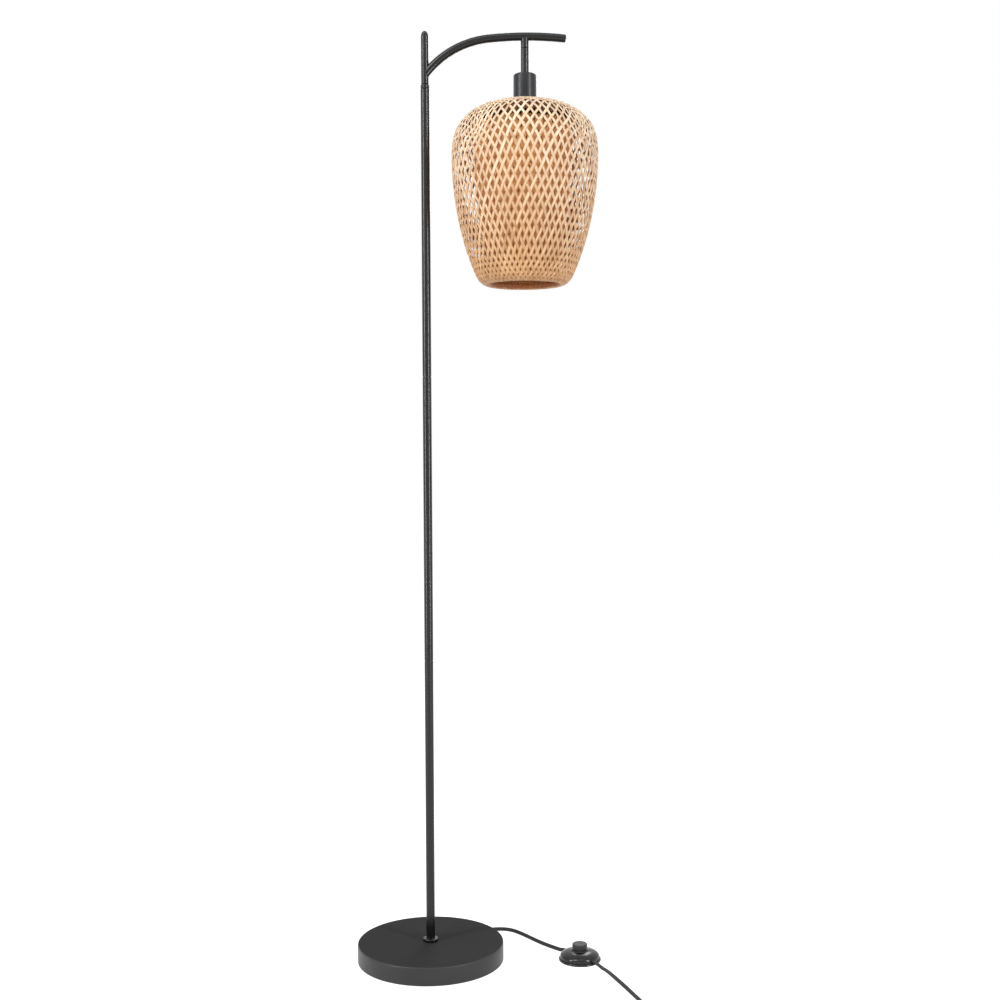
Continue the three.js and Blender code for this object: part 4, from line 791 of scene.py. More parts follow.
@dataclass(frozen=True)
class Glass(Finish):
    """A bulb's glass: clear and thin, with a faint tint and a few soft streaks."""

    def dress(self, board: NodeBoard) -> None:
        """Makes the shader pass light, with streaks in its tint and roughness.

        Args:
            board: The material's nodes.
        """
        streak = board.noise(board.place((1.0, 1.0, 0.25)), scale=55.0)
        board.lay(Base_Color=self.clouded(board, streak, (0.92, 1.0)), Transmission_Weight=0.92, IOR=1.45)
        board.lay(Roughness=self.rubbed(board, streak, 0.0, 0.05))


@dataclass(frozen=True)
class Filament(Finish):
    """A bulb's filament strip: a pale coat that gives a little warm light.

    Args:
        strength: How much light it gives.
    """

    strength: float = 2.0

    def dress(self, board: NodeBoard) -> None:
        """Lays a banded warm colour on the strip and lets it shine.

        Args:
            board: The material's nodes.
        """
        band = board.noise(board.place((1.0, 1.0, 6.0)), scale=120.0, detail=1.0)
        tint = self.clouded(board, band, (0.8, 1.0), (0.35, 0.65))
        board.lay(Base_Color=tint, Emission_Color=tint, Emission_Strength=self.strength)
        board.lay(Roughness=self.roughness)


PAINT = Paint("black_satin_paint", "black_paint", shade_of(16, 16, 17), 0.2, peel=0.004)
# The base's skirt wears a lighter copy of the black paint: a painted highlight spread over its side.
SKIRT_HIGHLIGHT_PAINT = Paint("black_paint_painted_highlight", "black_paint", shade_of(44, 44, 45), 0.42, peel=0.05, shine=0.34)
# The base's level top wears a duller and lighter copy of the black paint: painted light from above.
LEVEL_LIT_PAINT = Paint("dull_black_paint_painted_light", "black_paint", shade_of(51, 51, 51), 0.82, peel=0.05, shine=0.04)
CUP_PAINT = Paint("slate_satin_paint", "cup_paint", shade_of(27, 28, 32), 0.32, peel=0.006, shine=0.36)
MOULDED = Moulding("black_moulding", "black_moulding", shade_of(34, 34, 36), 0.4)
GLOSSY = Moulding(
    "gloss_moulding", "gloss_moulding", shade_of(24, 24, 26), 0.18, grain=260.0, depth=0.04, shine=0.36
)
# The button wears a lighter, duller copy of the gloss moulding: painted light on its top.
BUTTON = Moulding(
    "button_lit_moulding", "gloss_moulding", shade_of(54, 54, 55), 0.45, grain=1400.0, depth=0.1, shine=0.2
)
JACKET = Jacket("cord_jacket", "cord_jacket", shade_of(40, 40, 41), 0.6)
LEAD = Moulding("lead_jacket", "cord_jacket", shade_of(42, 42, 44), 0.55)
ZINC = Metal("zinc_steel", "zinc_steel", shade_of(176, 178, 182), 0.34)
BRASS = Metal("brass", "brass", shade_of(205, 165, 90), 0.3)
CEMENT = Mineral("base_cement", "base_cement", shade_of(142, 139, 133), 0.88, cells=220.0)
FOAM = Mineral("pad_foam", "pad_foam", shade_of(38, 38, 40), 0.92, cells=900.0, pitted=0.5)
CERAMIC = Mineral("white_ceramic", "white_ceramic", shade_of(233, 230, 221), 0.45, cells=700.0, pitted=0.1)
# Its deep colour is a painted shade inside the mouth.
BAMBOO = Splint(
    "bamboo_splint",
    "bamboo",
    shade_of(238, 209, 174),
    0.5,
    pale=shade_of(252, 239, 218),
    dark=shade_of(172, 116, 66),
    throat_shade=shade_of(152, 80, 10),
)
# The liner's bamboo is paler and warmer than the outer splints: a painted glow for light let through the
# weave.
BAMBOO_INNER_GLOW = Splint(
    "bamboo_inner_painted_glow_splint",
    "bamboo_inner",
    shade_of(255, 190, 120),
    0.6,
    pale=shade_of(255, 214, 150),
    dark=shade_of(214, 130, 60),
    throat_shade=shade_of(152, 80, 10),
    low_shade_tint=(0.55, 0.42, 0.28),
)
# A dark brown mat under the crown: a painted shade that fills the crown's gaps.
BAMBOO_SHADE_BACK = Splint(
    "painted_shade_back_splint",
    "bamboo_inner",
    shade_of(104, 58, 24),
    0.7,
    pale=shade_of(112, 60, 20),
    dark=shade_of(56, 24, 6),
    half_width=0.0045,
)
BULB_GLASS = Glass("amber_glass", "bulb_glass", shade_of(255, 214, 140), 0.02)
FILAMENT = Filament("filament_strip", "bulb_glass", shade_of(255, 196, 96), 0.5, strength=1.5)

NODE_FINISHES = {
    finish.slot: finish
    for finish in (
        PAINT, CUP_PAINT, CEMENT, FOAM, ZINC, BRASS, MOULDED, GLOSSY, LEAD, BAMBOO, BAMBOO_INNER_GLOW, CERAMIC,
        BULB_GLASS,
    )
}


def dress_nodes() -> None:
    """Dresses every CAD node in its slot's finish."""
    for entry in frame["record"]["subparts"]:
        node = frame["nodes"].get(entry["node"])
        if node is not None:
            node.data.materials.clear()
            node.data.materials.append(NODE_FINISHES[entry["material_slot"]].material())


# Camera, lights and floor


def standing(spot: Points, *axes: Points) -> Matrix:
    """Returns the matrix of a thing at a spot in metres, with its own axes along three directions."""
    return Matrix.Translation(spot.tolist()) @ Matrix(np.stack(axes, axis=1).tolist()).to_4x4()


@dataclass(frozen=True)
class SoftBox:
    """A rectangular lamp that faces the floor lamp.

    Args:
        name: The light's name.
        power: Its power in watts.
        size: Its width and height in metres.
        azimuth: The way to it from the camera's side, in degrees to the right.
        away: How far it stands from the pole in metres.
        height: Its middle's height in metres.
    """

    name: str
    power: float
    size: Pair
    azimuth: float
    away: float
    height: float

    def build(self, aim: tuple[float, float, float]) -> None:
        """Adds the light, turned towards a place.

        Args:
            aim: The place that it faces, in metres.
        """
        data = bpy.data.lights.new(self.name, "AREA")
        data.shape = "RECTANGLE"
        data.size, data.size_y = self.size
        data.energy = self.power
        light = bpy.data.objects.new(self.name, data)
        bpy.context.scene.collection.objects.link(light)
        angle = math.radians(self.azimuth)
        spot = np.array([self.away * math.sin(angle), -self.away * math.cos(angle), self.height])
        back = unit(spot - np.array(aim))
        side = unit(np.cross([0.0, 0.0, 1.0], back))
        light.matrix_world = standing(spot, side, np.cross(back, side), back)


SOFT_BOXES = (
    SoftBox("high_left", 30.0, (1.1, 1.1), -42.0, 2.0, 3.2),
    SoftBox("strip_right", 70.0, (0.24, 2.8), 48.0, 3.2, 1.5),
    SoftBox("strip_left", 74.0, (0.45, 2.8), -58.0, 3.2, 1.5),
    SoftBox("strip_above", 9.0, (2.0, 0.16), 0.0, 1.1, 3.4),
    SoftBox("behind", 34.0, (1.4, 1.4), 165.0, 2.6, 2.4),
)


@dataclass
class Studio:
    """The camera at the photograph's viewing angle, soft lights, and a plain pale floor."""

    lens: float = 48.88
    sensor: float = 36.0
    distance: float = 2351.3
    height: float = 878.9
    yaw: float = math.radians(3.045)
    pitch: float = math.radians(1.867)
    roll: float = math.radians(0.290)
    clip_end: float = 100.0
    aim: tuple[float, float, float] = (0.08, 0.0, 0.9)
    white: tuple[float, ...] = (1.0, 1.0, 1.0, 1.0)
    sky: tuple[float, ...] = (0.94, 0.97, 1.0, 1.0)
    sky_strength: float = 0.3
    floor_size: float = 16.0
    floor_grey: tuple[float, ...] = (0.5, 0.5, 0.5, 1.0)
    floor_glow: float = 0.88

    def place_camera(self) -> None:
        """Sets the camera on the lamp's front side, turned by its yaw, pitch and roll."""
        sin_y, cos_y = math.sin(self.yaw), math.cos(self.yaw)
        sin_p, cos_p = math.sin(self.pitch), math.cos(self.pitch)
        sin_r, cos_r = math.sin(self.roll), math.cos(self.roll)
        ahead = np.array([sin_y * cos_p, cos_y * cos_p, -sin_p])
        right = np.array([cos_y, -sin_y, 0.0])
        up = np.array([sin_y * sin_p, cos_y * sin_p, cos_p])
        right, up = right * cos_r - up * sin_r, up * cos_r + right * sin_r
        data = bpy.data.cameras.new("view")
        data.lens = self.lens
        data.sensor_width = self.sensor
        data.clip_end = self.clip_end
        camera = bpy.data.objects.new("view", data)
        bpy.context.scene.collection.objects.link(camera)
        spot = np.array([0.0, -self.distance, self.height]) * MM
        camera.matrix_world = standing(spot, right, up, -ahead)
        bpy.context.scene.camera = camera

    def seen_white(self, board: NodeBoard) -> Socket:
        """Works out where a surface or the world is only seen, and lights nothing.

        Args:
            board: The material's or the world's nodes.

        Returns:
            One for rays from the camera and for mirrored and passed ones, and nothing for others.
        """
        path = board.add("ShaderNodeLightPath")
        total = path.outputs["Is Camera Ray"]
        for name in ("Is Glossy Ray", "Is Transmission Ray"):
            total = board.sum_of("MAXIMUM", total, path.outputs[name])
        return total

    def make_world(self) -> None:
        """Lets the world be white where it is seen, and a soft grey where it lights."""
        world = bpy.data.worlds.new("studio")
        bpy.context.scene.world = world
        world.use_nodes = True
        board = NodeBoard(world.node_tree)
        light = board.tree.nodes["Background"]
        board.put(light.inputs["Color"], self.sky)
        board.put(light.inputs["Strength"], self.sky_strength)
        white = board.add("ShaderNodeBackground", {"Color": self.white, "Strength": 1.0})
        inputs = {"Fac": self.seen_white(board), 1: light.outputs[0], 2: white.outputs[0]}
        mixed = board.add("ShaderNodeMixShader", inputs)
        board.put(board.tree.nodes["World Output"].inputs["Surface"], mixed.outputs[0])

    def make_floor(self) -> None:
        """Lays a plain pale floor that keeps the lamp's shadow."""
        half = self.floor_size / 2
        mesh = bpy.data.meshes.new("floor")
        corners = [(-half, -half, 0.0), (half, -half, 0.0), (half, half, 0.0), (-half, half, 0.0)]
        mesh.from_pydata(corners, [], [(0, 1, 2, 3)])
        floor = bpy.data.objects.new("floor", mesh)
        bpy.context.scene.collection.objects.link(floor)
        material = bpy.data.materials.new("pale_floor")
        material.use_nodes = True
        board = NodeBoard(material.node_tree)
        board.lay(Base_Color=self.floor_grey, Roughness=0.9, Specular_IOR_Level=0.0)
        seen = board.sum_of("MULTIPLY", self.seen_white(board), self.floor_glow)
        glow = board.add("ShaderNodeEmission", {"Color": self.white, "Strength": seen})
        lifted = board.add("ShaderNodeAddShader", {0: board.shader.outputs[0], 1: glow.outputs[0]})
        board.put(board.tree.nodes["Material Output"].inputs["Surface"], lifted.outputs[0])
        mesh.materials.append(material)

    def build(self) -> None:
        """Makes the camera, the lights, the world and the floor."""
        self.place_camera()
        for box in SOFT_BOXES:
            box.build(self.aim)
        self.make_world()
        self.make_floor()
        bpy.context.scene.view_settings.view_transform = "Standard"


# Cord, coil and plug


@dataclass
class Plug:
    """The plug's body: a rounded block that swells from its neck, with grip ribs."""

    length: float = 31.0
    neck: Pair = (11.0, 8.6)
    block: Pair = (23.0, 14.8)
    swell_from: float = 0.12
    swell_run: float = 0.4
    rib_height: float = 0.45
    rib_turns: float = 40.0
    rib_span: Pair = (0.3, 0.78)
    bevel: float = 0.8
    bevel_run: float = 0.05
    end_share: float = 0.02
    squareness: float = 4.5

    def half_sizes(self, share: Points) -> Points:
        """Works out half the block's width and height along it.

        Formula: the neck grows into the block by an eased share; both ends are bevelled, and the
        ribs cut the sides by a small wave.

        Args:
            share: Places along the block, 0 to 1.

        Returns:
            Rows of half the width and half the height.
        """
        neck, block = np.array(self.neck) / 2, np.array(self.block) / 2
        swell = ease((share - self.swell_from) / self.swell_run)[:, None]
        ribbed = (share > self.rib_span[0]) & (share < self.rib_span[1])
        wave = np.sin((share - self.rib_span[0]) * self.rib_turns)
        rib = self.rib_height * np.clip(wave, 0.0, 1.0) * ribbed
        ends = np.clip(1 - np.minimum(share, 1 - share) / self.bevel_run, 0.0, 1.0)
        half = neck + (block - neck) * swell - self.bevel * ends[:, None]
        half = half - np.stack([rib, 0 * rib], axis=-1)
        half[[0, -1]] *= self.end_share
        return half

    def build(self, end: Points, forward: Points) -> bpy.types.Object:
        """Makes the block at the cord's end.

        Formula: each ring is a rounded rectangle, where |y/w| and |z/h|, raised to the squareness,
        add up to one, and w and h are the half sizes there.

        Args:
            end: The cord's last place.
            forward: The way that the cord goes there.

        Returns:
            The piece.
        """
        share = np.concatenate([[0.0], np.linspace(0.0, 1.0, 61), [1.0]])
        turn = np.linspace(0.0, FULL_TURN, 65)[:-1]
        cos, sin = np.cos(turn), np.sin(turn)
        size = (np.abs(cos) ** self.squareness + np.abs(sin) ** self.squareness) ** (-1 / self.squareness)
        half = self.half_sizes(share)
        side = np.array([forward[1], -forward[0], 0.0])
        rings = end + (share * self.length + SEAM)[:, None, None] * forward
        rings = rings + (half[:, :1] * (size * cos)[None])[..., None] * side
        rings[..., 2] += half[:, 1:] * (size * sin)[None]
        return make_piece("plug_block", tube(rings), MOULDED, ("plug_body",))


@dataclass
class Cord:
    """The flat twin cord: from the base to the switch, and on to its coil and plug."""

    width: float = 5.9
    thickness: float = 3.4
    fuller: float = 0.13
    groove: float = 0.36
    groove_width: float = 0.55
    section_points: int = 28
    crowding: float = 0.9
    floor_gap: float = 0.05
    spacing: float = 1.6
    switch_height: float = 6.05
    switch_inside: float = 23.3
    switch_ramp: float = 39.6
    coil_entry: float = math.radians(-76)
    coil_mean: float = 64.4
    coil_turns: float = 6.25
    coil_pitch: float = 3.5
    coil_low: float = 3.7
    coil_high: float = 9.9
    climb_turns: float = 0.5
    steps_per_turn: int = 72
    lead_in: float = 48.0
    tail: float = 46.0
    end_steps: int = 29
    twist_share: float = 0.8
    plug_level: float = 7.4
    coil_start: Pair = (340.4, -232.6)
    lean_share: float = 0.75
    flat_from: float = 0.86
    flat_run: float = 0.12
    lean_from: float = 0.04
    lean_run: float = 0.8
    first_places: tuple[Pair, ...] = (
        (106.4, 128.8), (116.4, 131.7), (127.2, 132.1), (138.4, 130.4), (149.2, 124.6),
        (159.6, 114.2), (169.6, 100.4), (179.4, 85.4), (189.2, 70.2), (199.2, 55.6),
        (208.9, 43.2), (218.0, 32.6),
    )
    second_places: tuple[Pair, ...] = (
        (295.6, -74.4), (300.6, -86.8), (304.4, -99.4), (308.2, -112.6), (312.0, -126.8),
        (316.2, -141.8), (320.6, -157.6), (324.8, -174.0), (329.2, -191.0), (334.8, -211.6),
    )

    @property
    def level(self) -> float:
        """The centreline's height where the cord lies on the floor."""
        return self.thickness / 2 + self.floor_gap

    def level_when(self, turned: Points, full: Points) -> Points:
        """Works out the height at which a leaning section rests on the floor.

        Formula: the floor's gap, and the fullness times half the thickness, more by half of what
        the width has over it times the sine of the turn.

        Args:
            turned: How far the section is turned towards its edge, as a share of a quarter.
            full: How many times the section's size the cord has there.

        Returns:
            The centreline's height.
        """
        raised = (self.width - self.thickness) / 2 * np.sin(np.abs(turned) * QUARTER)
        return self.floor_gap + full * (self.thickness / 2 + raised)

    def section(self) -> Points:
        """Works out the twin section: two round wires side by side with a shallow groove between.

        Formula: half the thickness at a place a is the root of round squared less (|a| - lobe)
        squared, and between the wires' middles it never falls below round less the groove.

        Returns:
            Rows of across and through.
        """
        round_edge = self.thickness / 2
        lobe = self.width / 2 - round_edge
        turn = np.linspace(0.0, FULL_TURN, self.section_points + 1)[:-1]
        across = np.sign(np.cos(turn)) * self.width / 2 * np.abs(np.cos(turn)) ** self.crowding
        beyond = np.abs(across) - lobe
        half = np.sqrt(np.clip(round_edge**2 - beyond**2, 0.0, None))
        valley = round_edge - self.groove * np.exp(-((across / self.groove_width) ** 2))
        half = np.where(beyond < 0, np.maximum(half, valley), half)
        return np.stack([across, half * np.sign(np.sin(turn) + 1e-9)], axis=-1)

    def at_switch(self, distance: float, height: float) -> list[float]:
        """Returns a point on the line through the switch, at a distance from its middle."""
        cos, sin = math.cos(SWITCH_ANGLE), math.sin(SWITCH_ANGLE)
        return [SWITCH_X + distance * cos, SWITCH_Y + distance * sin, height]

    def from_base(self, distance: float) -> list[float]:
        """Returns a point on the level line along which the cord leaves the base."""
        cos, sin = math.cos(CORD_EXIT_ANGLE), math.sin(CORD_EXIT_ANGLE)
        return [distance * cos, distance * sin, CORD_EXIT_HEIGHT]

    def on_floor(self, *places: Pair) -> list[list[float]]:
        """Returns points above given places, where the cord lies on the floor."""
        return [[x, y, self.level] for x, y in places]

    def ramp(self, way: int) -> list[list[float]]:
        """Works out how the cord climbs from the floor into the switch.

        Args:
            way: Minus one on the base's side of the switch, and one beyond it.

        Returns:
            Three points, from the floor to inside the switch.
        """
        foot = self.at_switch(way * (self.switch_ramp + 2 * self.width), self.level + self.thickness / 2)
        places = (self.switch_ramp, self.switch_inside)
        return [foot, *(self.at_switch(way * place, self.switch_height) for place in places)]

    def run_through(self, chosen: list[list[float]]) -> Points:
        """Runs the cord through chosen points without letting it sink into the floor.

        Args:
            chosen: Points listed along the cord.

        Returns:
            The centreline.
        """
        curve = smooth_path(np.array(chosen), self.spacing)
        curve[:, 2] = np.maximum(curve[:, 2], self.level)
        return curve

    def first_route(self) -> Points:
        """Works out the path from the strain relief's tip, along the floor, into the switch.

        Returns:
            The centreline.
        """
        tip = BASE_RADIUS + RELIEF_REACH + SEAM
        leaving = [self.from_base(tip + self.thickness), [94.6, 119.8, 5.0], [99.6, 124.6, 2.9]]
        curve = self.run_through(leaving + self.on_floor(*self.first_places) + self.ramp(-1))
        return np.vstack([self.from_base(tip), curve])

    def second_route(self) -> Points:
        """Returns the path from the switch along the floor to where the coil's lead-in starts."""
        return self.run_through(self.ramp(1)[::-1] + self.on_floor(*self.second_places, self.coil_start))

    def coil_stations(self) -> tuple[Points, Points, Points]:
        """Works out the coil.

        Formula: the radius falls by the coil's pitch for each turn until half of the turns,
        then grows again in the upper layer; the climb between the layers is eased over half a turn.

        Returns:
            The places, the headings, and how far the section has turned onto its edge, 0 to 1.
        """
        pitch, lower, upper = self.coil_pitch, self.coil_low, self.coil_high
        outer = self.coil_mean / 2 + self.coil_turns * pitch / 4
        heading = np.array([math.cos(self.coil_entry), math.sin(self.coil_entry), 0.0])
        start = np.array([*self.coil_start, self.level])
        touch = start + heading * self.lead_in
        centre = touch + outer * np.array([heading[1], -heading[0], 0.0])
        centre[2] = 0.0

        share = np.linspace(0.0, 1.0, self.end_steps + 1)[:-1]
        on_edge = ease((share - 1 + self.twist_share) / self.twist_share)
        places = start + heading * (self.lead_in * share)[:, None]
        places[:, 2] = self.level + (lower - self.level) * on_edge
        headings = np.broadcast_to(heading, places.shape)

        turn = np.linspace(0.0, self.coil_turns, round(self.coil_turns * self.steps_per_turn) + 1)
        angle = self.coil_entry + QUARTER - FULL_TURN * turn
        inwards = self.coil_turns / 2 - np.abs(turn - self.coil_turns / 2)
        radius = outer - pitch * inwards
        climb = ease((turn - self.coil_turns / 2 + self.climb_turns / 2) / self.climb_turns)
        loops = centre + np.stack([radius * np.cos(angle), radius * np.sin(angle), 0 * angle], axis=-1)
        loops[:, 2] = lower + (upper - lower) * climb
        loop_headings = np.stack([np.sin(angle), -np.cos(angle), 0 * angle], axis=-1)

        share = np.linspace(0.0, 1.0, self.end_steps + 1)[1:]
        off_edge = 1 - ease(np.minimum(1.0, share / self.twist_share))
        tail = loops[-1] + loop_headings[-1] * (self.tail * share)[:, None]
        tail[:, 2] = self.plug_level + (upper - self.plug_level) * off_edge
        tail_headings = np.broadcast_to(loop_headings[-1], tail.shape)
        turned = np.concatenate([on_edge, np.ones(len(turn)), off_edge])
        return np.vstack([places, loops, tail]), np.vstack([headings, loop_headings, tail_headings]), turned

    def skin(self, path: Points, headings: Points, turned: Points, full: Points) -> Surface:
        """Carries the twin section along a path, turned onto its edge where the coil asks for it.

        Formula: across = side cos(roll) + up sin(roll), and through is square to it and the heading.

        Args:
            path: Rows of x, y, z in mm.
            headings: The way the cord goes at each place.
            turned: How far the section is turned onto its edge there, as a share of a quarter.
            full: How many times the section's size the cord has there.

        Returns:
            The cord's closed surface.
        """
        side = unit(np.stack([headings[:, 1], -headings[:, 0], 0 * turned], axis=-1))
        roll = (turned * QUARTER)[:, None]
        across = side * np.cos(roll) + np.array([0.0, 0.0, 1.0]) * np.sin(roll)
        return swept(path, self.section() * full[:, None, None], across)

    def near_cord(self) -> tuple[bpy.types.Object, Points]:
        """Makes the cord from the base to the switch, leaning until it flattens for the switch.

        Returns:
            The piece and its centreline.
        """
        path = self.first_route()
        share = np.linspace(0.0, 1.0, len(path))
        turned = self.lean_share * (ease((share - self.flat_from) / self.flat_run) - 1)
        full = np.full(len(path), 1 + self.fuller)
        path[:, 2] = np.maximum(path[:, 2], self.level_when(turned, full))
        surface = self.skin(path, np.gradient(path, axis=0), turned, full)
        return make_piece("cord_from_base", surface, JACKET, ("cord_base_to_switch",)), path

    def far_cord(self) -> tuple[bpy.types.Object, Points, Points]:
        """Makes the cord from the switch to the plug, leaning more and more until it is on its edge.

        Returns:
            The piece, its centreline, and the way that it goes at its end.
        """
        run = self.second_route()
        places, headings, on_edge = self.coil_stations()
        path = np.vstack([run[:-1], places])
        headings = np.vstack([np.gradient(run, axis=0)[:-1], headings])
        share = np.linspace(0.0, 1.0, len(run) - 1)
        leaning = self.lean_share * ease((share - self.lean_from) / self.lean_run)
        wound = np.arange(len(on_edge)) > len(on_edge) / 2
        turned = -np.concatenate([leaning, np.maximum(on_edge, np.where(wound, 0.0, self.lean_share))])
        loose = np.concatenate([np.ones(len(run) - 1), np.where(wound, 0.0, 1 - on_edge)])
        full = 1 + self.fuller * loose
        path[:, 2] = np.maximum(path[:, 2], self.level_when(turned, full))
        surface = self.skin(path, headings, turned, full)
        piece = make_piece("cord_to_plug", surface, JACKET, ("cord_switch_to_coil", "cord_coil"))
        return piece, path, headings[-1]

    def build(self) -> None:
        """Makes the two cords and the plug."""
        near, near_line = self.near_cord()
        far, far_line, forward = self.far_cord()
        plug = Plug().build(far_line[-1], forward)


# Stand: base, pole, arm and drop


@dataclass
class Stand:
    """The painted metal: base shell, collar, pole, ferrule, stem, finial, arm, drop and cup."""

    base_top: float = 32.0
    base_edge: float = 2.4
    base_hole: float = 6.4
    cover_wall: float = 1.5
    skirt_lift: float = 1.2
    level_from: float = 0.94
    collar_edge: float = 1.4
    pole_radius: float = 7.6
    pole_bore: float = 6.4
    stem_radius: float = 6.55
    stem_bore: float = 5.4
    chamfer: float = 0.6
    ferrule_bore: float = 5.0
    ferrule_shoulder: float = 2.2
    groove_radius: float = 0.9
    groove_height: float = 1.0
    groove_out: float = 0.2
    finial_height: float = 7.9
    finial_plug: float = 5.2
    finial_depth: float = 4.0
    arm_radius: float = 7.0
    arm_start: float = 1531.5
    arm_angle: float = math.radians(53)
    blend_angle: float = math.radians(6.8)
    bend_radius: float = 160.0
    crown_radius: float = 624.0
    arm_reach: float = 240.5
    arm_inset: float = 2.6
    arm_cap_rise: float = 2.6
    arm_cap_plug: float = 5.6
    arm_cap_depth: float = 5.0
    weld_radius: float = 0.75
    weld_lean: float = 8.0
    drop_radius: float = 6.9
    drop_bore: float = 5.2
    cup_foot: float = 20.05
    cup_shoulder: float = 19.7
    cup_edge: float = 3.4
    cup_wall: float = 1.2
    relief_radius: float = 4.2
    relief_taper: float = 0.75
    relief_length: float = 15.0
    relief_inside: float = 8.0
    relief_tip: float = 2.9
    flange_radius: float = 5.0
    flange_thickness: float = 2.0
    flange_edge: float = 0.7
    flange_gap: float = 0.1
    rib_height: float = 0.4
    rib_pitch: float = 3.0
    rib_span: Pair = (1.5, 13.8)

    def press_base(self) -> None:
        """Makes the pressed cover: a flat top, a tight round edge and an upright skirt."""
        edge, wall, top = self.base_edge, self.cover_wall, self.base_top
        outer = outer_edge(BASE_RADIUS, top, edge)
        inner = arc((BASE_RADIUS - edge, top - edge), edge - wall, QUARTER, 0.0, 4)
        foot = [[BASE_RADIUS - wall, self.skirt_lift], [BASE_RADIUS, self.skirt_lift]]
        hole = [[self.base_hole, top], [self.base_hole, top - wall]]
        surface = lathe(closed(foot, outer, hole, inner), 192)
        self.dull_and_lit_top(make_piece("base_shell", surface, SKIRT_HIGHLIGHT_PAINT, ("base_cover",)))

    def dull_and_lit_top(self, shell: bpy.types.Object) -> None:
        """Gives the base's level top its duller paint, face by face, a lighter copy of the black paint:
        painted light from above.

        Args:
            shell: The base's shell.
        """
        normals = np.empty(len(shell.data.polygons) * 3, np.float32)
        shell.data.polygons.foreach_get("normal", normals)
        shell.data.materials.append(LEVEL_LIT_PAINT.material())
        shell.data.polygons.foreach_set("material_index", (normals[2::3] > self.level_from).astype(np.int32))

    def turn_collar(self) -> None:
        """Makes the turned ring that covers the pole's foot."""
        low, high = node_span("base_collar")
        inner = self.pole_radius + SEAM
        rounded = outer_edge(high[0], high[2], self.collar_edge)
        profile = closed([[inner, low[2]], [high[0], low[2]]], rounded, [[inner, high[2]]])
        make_piece("collar_ring", lathe(profile), PAINT, ("base_collar",))

    def raise_tube(self, name: str, node: str, radius: float, bore: float, x: float = 0.0) -> None:
        """Makes an upright tube as high as a CAD node, with a small chamfer at each end.

        Args:
            name: The piece's name.
            node: The node that it stands for.
            radius: Its outer radius.
            bore: Its inner radius.
            x: Where it stands.
        """
        low, high = (corner[2] for corner in node_span(node))
        cut = self.chamfer
        below = [[bore, low], [radius - cut, low], [radius, low + cut]]
        above = [[radius, high - cut], [radius - cut, high], [bore, high]]
        make_piece(name, lathe(closed(below, above), 64).moved(x, 0.0, 0.0), PAINT, (node,))

    def turn_ferrule(self) -> None:
        """Makes the turned ferrule between pole and stem: a band, a groove and a round shoulder."""
        foot = node_span("pole_upper")[1][2] + SEAM
        top = node_span("stem_tube")[0][2] - SEAM
        radius, bore = self.pole_radius, self.ferrule_bore
        middle = (radius + self.groove_out, foot + self.groove_height)
        groove = arc(middle, self.groove_radius, 1.35 * math.pi, 0.65 * math.pi, 8)
        rounded = outer_edge(radius, top, self.ferrule_shoulder)
        band, above = [[bore, foot], [radius, foot]], [[radius, foot + 2 * self.groove_height]]
        profile = closed(band, groove, above, rounded, [[bore, top]])
        make_piece("ferrule_turned", lathe(profile), PAINT, ("pole_ferrule",))

    def turn_finial(self) -> None:
        """Makes the rounded stop on the stem: half an oval on a short plug."""
        radius, _, top = node_span("finial")[1]
        seat = top - self.finial_height
        plug = (self.finial_plug, seat - self.finial_depth)
        surface = lathe(domed_plug(plug, radius, seat, self.finial_height, 24))
        make_piece("finial_dome", surface, PAINT, ("finial",))

    def arm_axis(self, angle: Points) -> Points:
        """Works out the arm's axis where it climbs at given angles.

        Formula: a round bend from the stem, then a wide shallow crown, joined where both climb at
        the blend angle; X and Z grow by radius times the difference of sines and cosines.

        Args:
            angle: The angles at which it climbs, falling along the arm.

        Returns:
            Rows of x, y, z in mm.
        """
        bend, crown = np.maximum(angle, self.blend_angle), np.minimum(angle, self.blend_angle)
        x = self.bend_radius * (math.sin(self.arm_angle) - np.sin(bend))
        x = x + self.crown_radius * (math.sin(self.blend_angle) - np.sin(crown))
        z = self.bend_radius * (np.cos(bend) - math.cos(self.arm_angle))
        z = z + self.crown_radius * (np.cos(crown) - math.cos(self.blend_angle))
        return np.stack([x, 0 * x, self.arm_start + z], axis=-1)

    @property
    def end_angle(self) -> float:
        """The angle at which the arm climbs at its end, below zero where it falls."""
        bend = self.bend_radius * (math.sin(self.arm_angle) - math.sin(self.blend_angle))
        return math.asin(math.sin(self.blend_angle) - (self.arm_reach - bend) / self.crown_radius)

    def bend_arm(self) -> None:
        """Makes the bent tube, its start hidden in the weld on the stem."""
        bend = np.linspace(self.arm_angle, self.blend_angle, 60)[:-1]
        crown = np.linspace(self.blend_angle, self.end_angle, 60)
        path = self.arm_axis(np.concatenate([bend, crown]))
        path[0] += np.array([math.cos(self.arm_angle), 0.0, math.sin(self.arm_angle)]) * self.arm_inset
        across = np.broadcast_to([0.0, -1.0, 0.0], path.shape)
        make_piece("arm_bent_tube", swept(path, ring_section(self.arm_radius), across), PAINT, ("arm_tube",))

